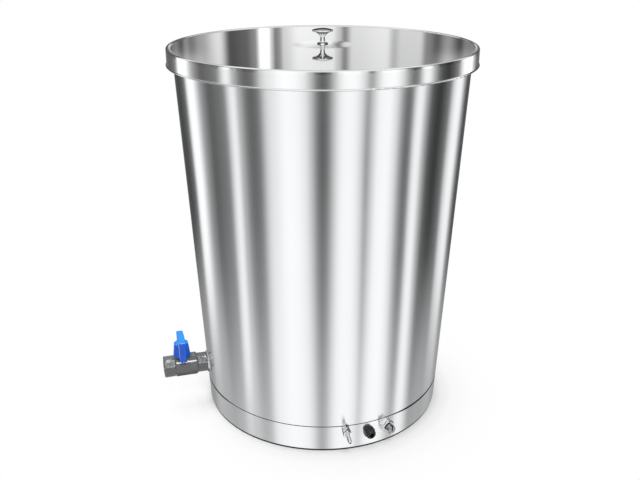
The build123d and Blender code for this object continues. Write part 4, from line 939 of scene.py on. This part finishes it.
def screws(places, turns, face, head_radius, head_height, shank_radius, tip):
    """Profile (radius, level) turned about each screw's axis: a crowned face, its rim, the flat
    under the head, the shank and its tip. On the face the level moves in by the recess."""
    r_face = np.linspace(0, head_radius, FACE_ROWS)
    crown = CROWN * head_height * (r_face / head_radius) ** 3
    radius = np.concatenate([r_face, [head_radius, shank_radius, shank_radius, 0.0]])
    level = np.concatenate([face + crown, [face + head_height, face + head_height, tip, tip]])
    x = radius[:, None] * np.cos(TURNS)
    y = radius[:, None] * np.sin(TURNS)
    depth = recess(x, y, ARM_LENGTH * head_radius, ARM_HALF * head_radius,
                   ARM_BEVEL * head_radius) * RECESS_DEPTH * head_height
    depth[FACE_ROWS:] = 0
    z = level[:, None] + depth
    c, s = np.cos(turns)[:, None, None], np.sin(turns)[:, None, None]
    return np.stack([c * x - s * y + places[:, 0, None, None],
                     s * x + c * y + places[:, 1, None, None],
                     np.broadcast_to(z, (len(places),) + z.shape)], axis=-1)


print("screw face of", FACE_ROWS, "rows and", len(TURNS), "columns")

# %% [markdown]
# ## Screws in their places
#
# Six screws hold the plate, each left at another turn as a hand leaves it, and one holds the knob
# from under the lid. Copies of one screw would all stand alike; a golden turn from each to the
# next doesn't repeat and needs no random numbers.

# %% Plate screws and lid screw
GOLDEN_TURN = radians(137.5)
PLATE_COUNT = 6
PLATE_LOW, PLATE_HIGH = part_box("base_plate_screws")
PLATE_HEAD_RADIUS, PLATE_HEAD_HEIGHT, PLATE_SHANK = 0.0036, 0.0020, 0.0020
KNOB_LOW, KNOB_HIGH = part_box("knob_screw")
KNOB_HEAD_HEIGHT, KNOB_SHANK = 0.0028, 0.0020
KNOB_TURN = 0.4

spots = np.arange(PLATE_COUNT) * pi / 3
ring = PLATE_HIGH.x - PLATE_HEAD_RADIUS
plate_screws = screws(np.stack([ring * np.cos(spots), ring * np.sin(spots)], axis=-1),
                      np.arange(PLATE_COUNT) * GOLDEN_TURN, PLATE_LOW.z, PLATE_HEAD_RADIUS,
                      PLATE_HEAD_HEIGHT, PLATE_SHANK, PLATE_HIGH.z)
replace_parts(grid_piece("plate_screws", plate_screws, "tank", plated_steel),
            "base_plate_screws")
lid_screw = screws(np.zeros((1, 2)), np.array([KNOB_TURN]), KNOB_LOW.z, KNOB_HIGH.x,
                   KNOB_HEAD_HEIGHT, KNOB_SHANK, KNOB_HIGH.z)
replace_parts(grid_piece("lid_screw", lid_screw, "lid", plated_steel), "knob_screw")

# %% [markdown]
# ## Lamp and metal
#
# The key lamp gives the plastic valve its glint. Mirrored in chrome and polished sheet, the same
# lamp would burn out to jagged white, so a photographer flags it off the metal. Light linking
# does that here: the metal shows the sweep and the cards alone.

# %% Flag the key lamp off the metal
METALS = ("brushed_steel", "polished_steel", "bright_chrome", "plated_steel", "vessel_steel")
flagged = bpy.data.collections.new("flagged_metal")
for part in SUBPARTS:
    if part["material_slot"] in METALS:
        flagged.objects.link(frame["nodes"][part["node"]])
for piece in PIECES:
    flagged.objects.link(piece)
bpy.data.objects["lamp_key"].light_linking.receiver_collection = flagged
for item in flagged.collection_objects:
    item.light_linking.link_state = "EXCLUDE"
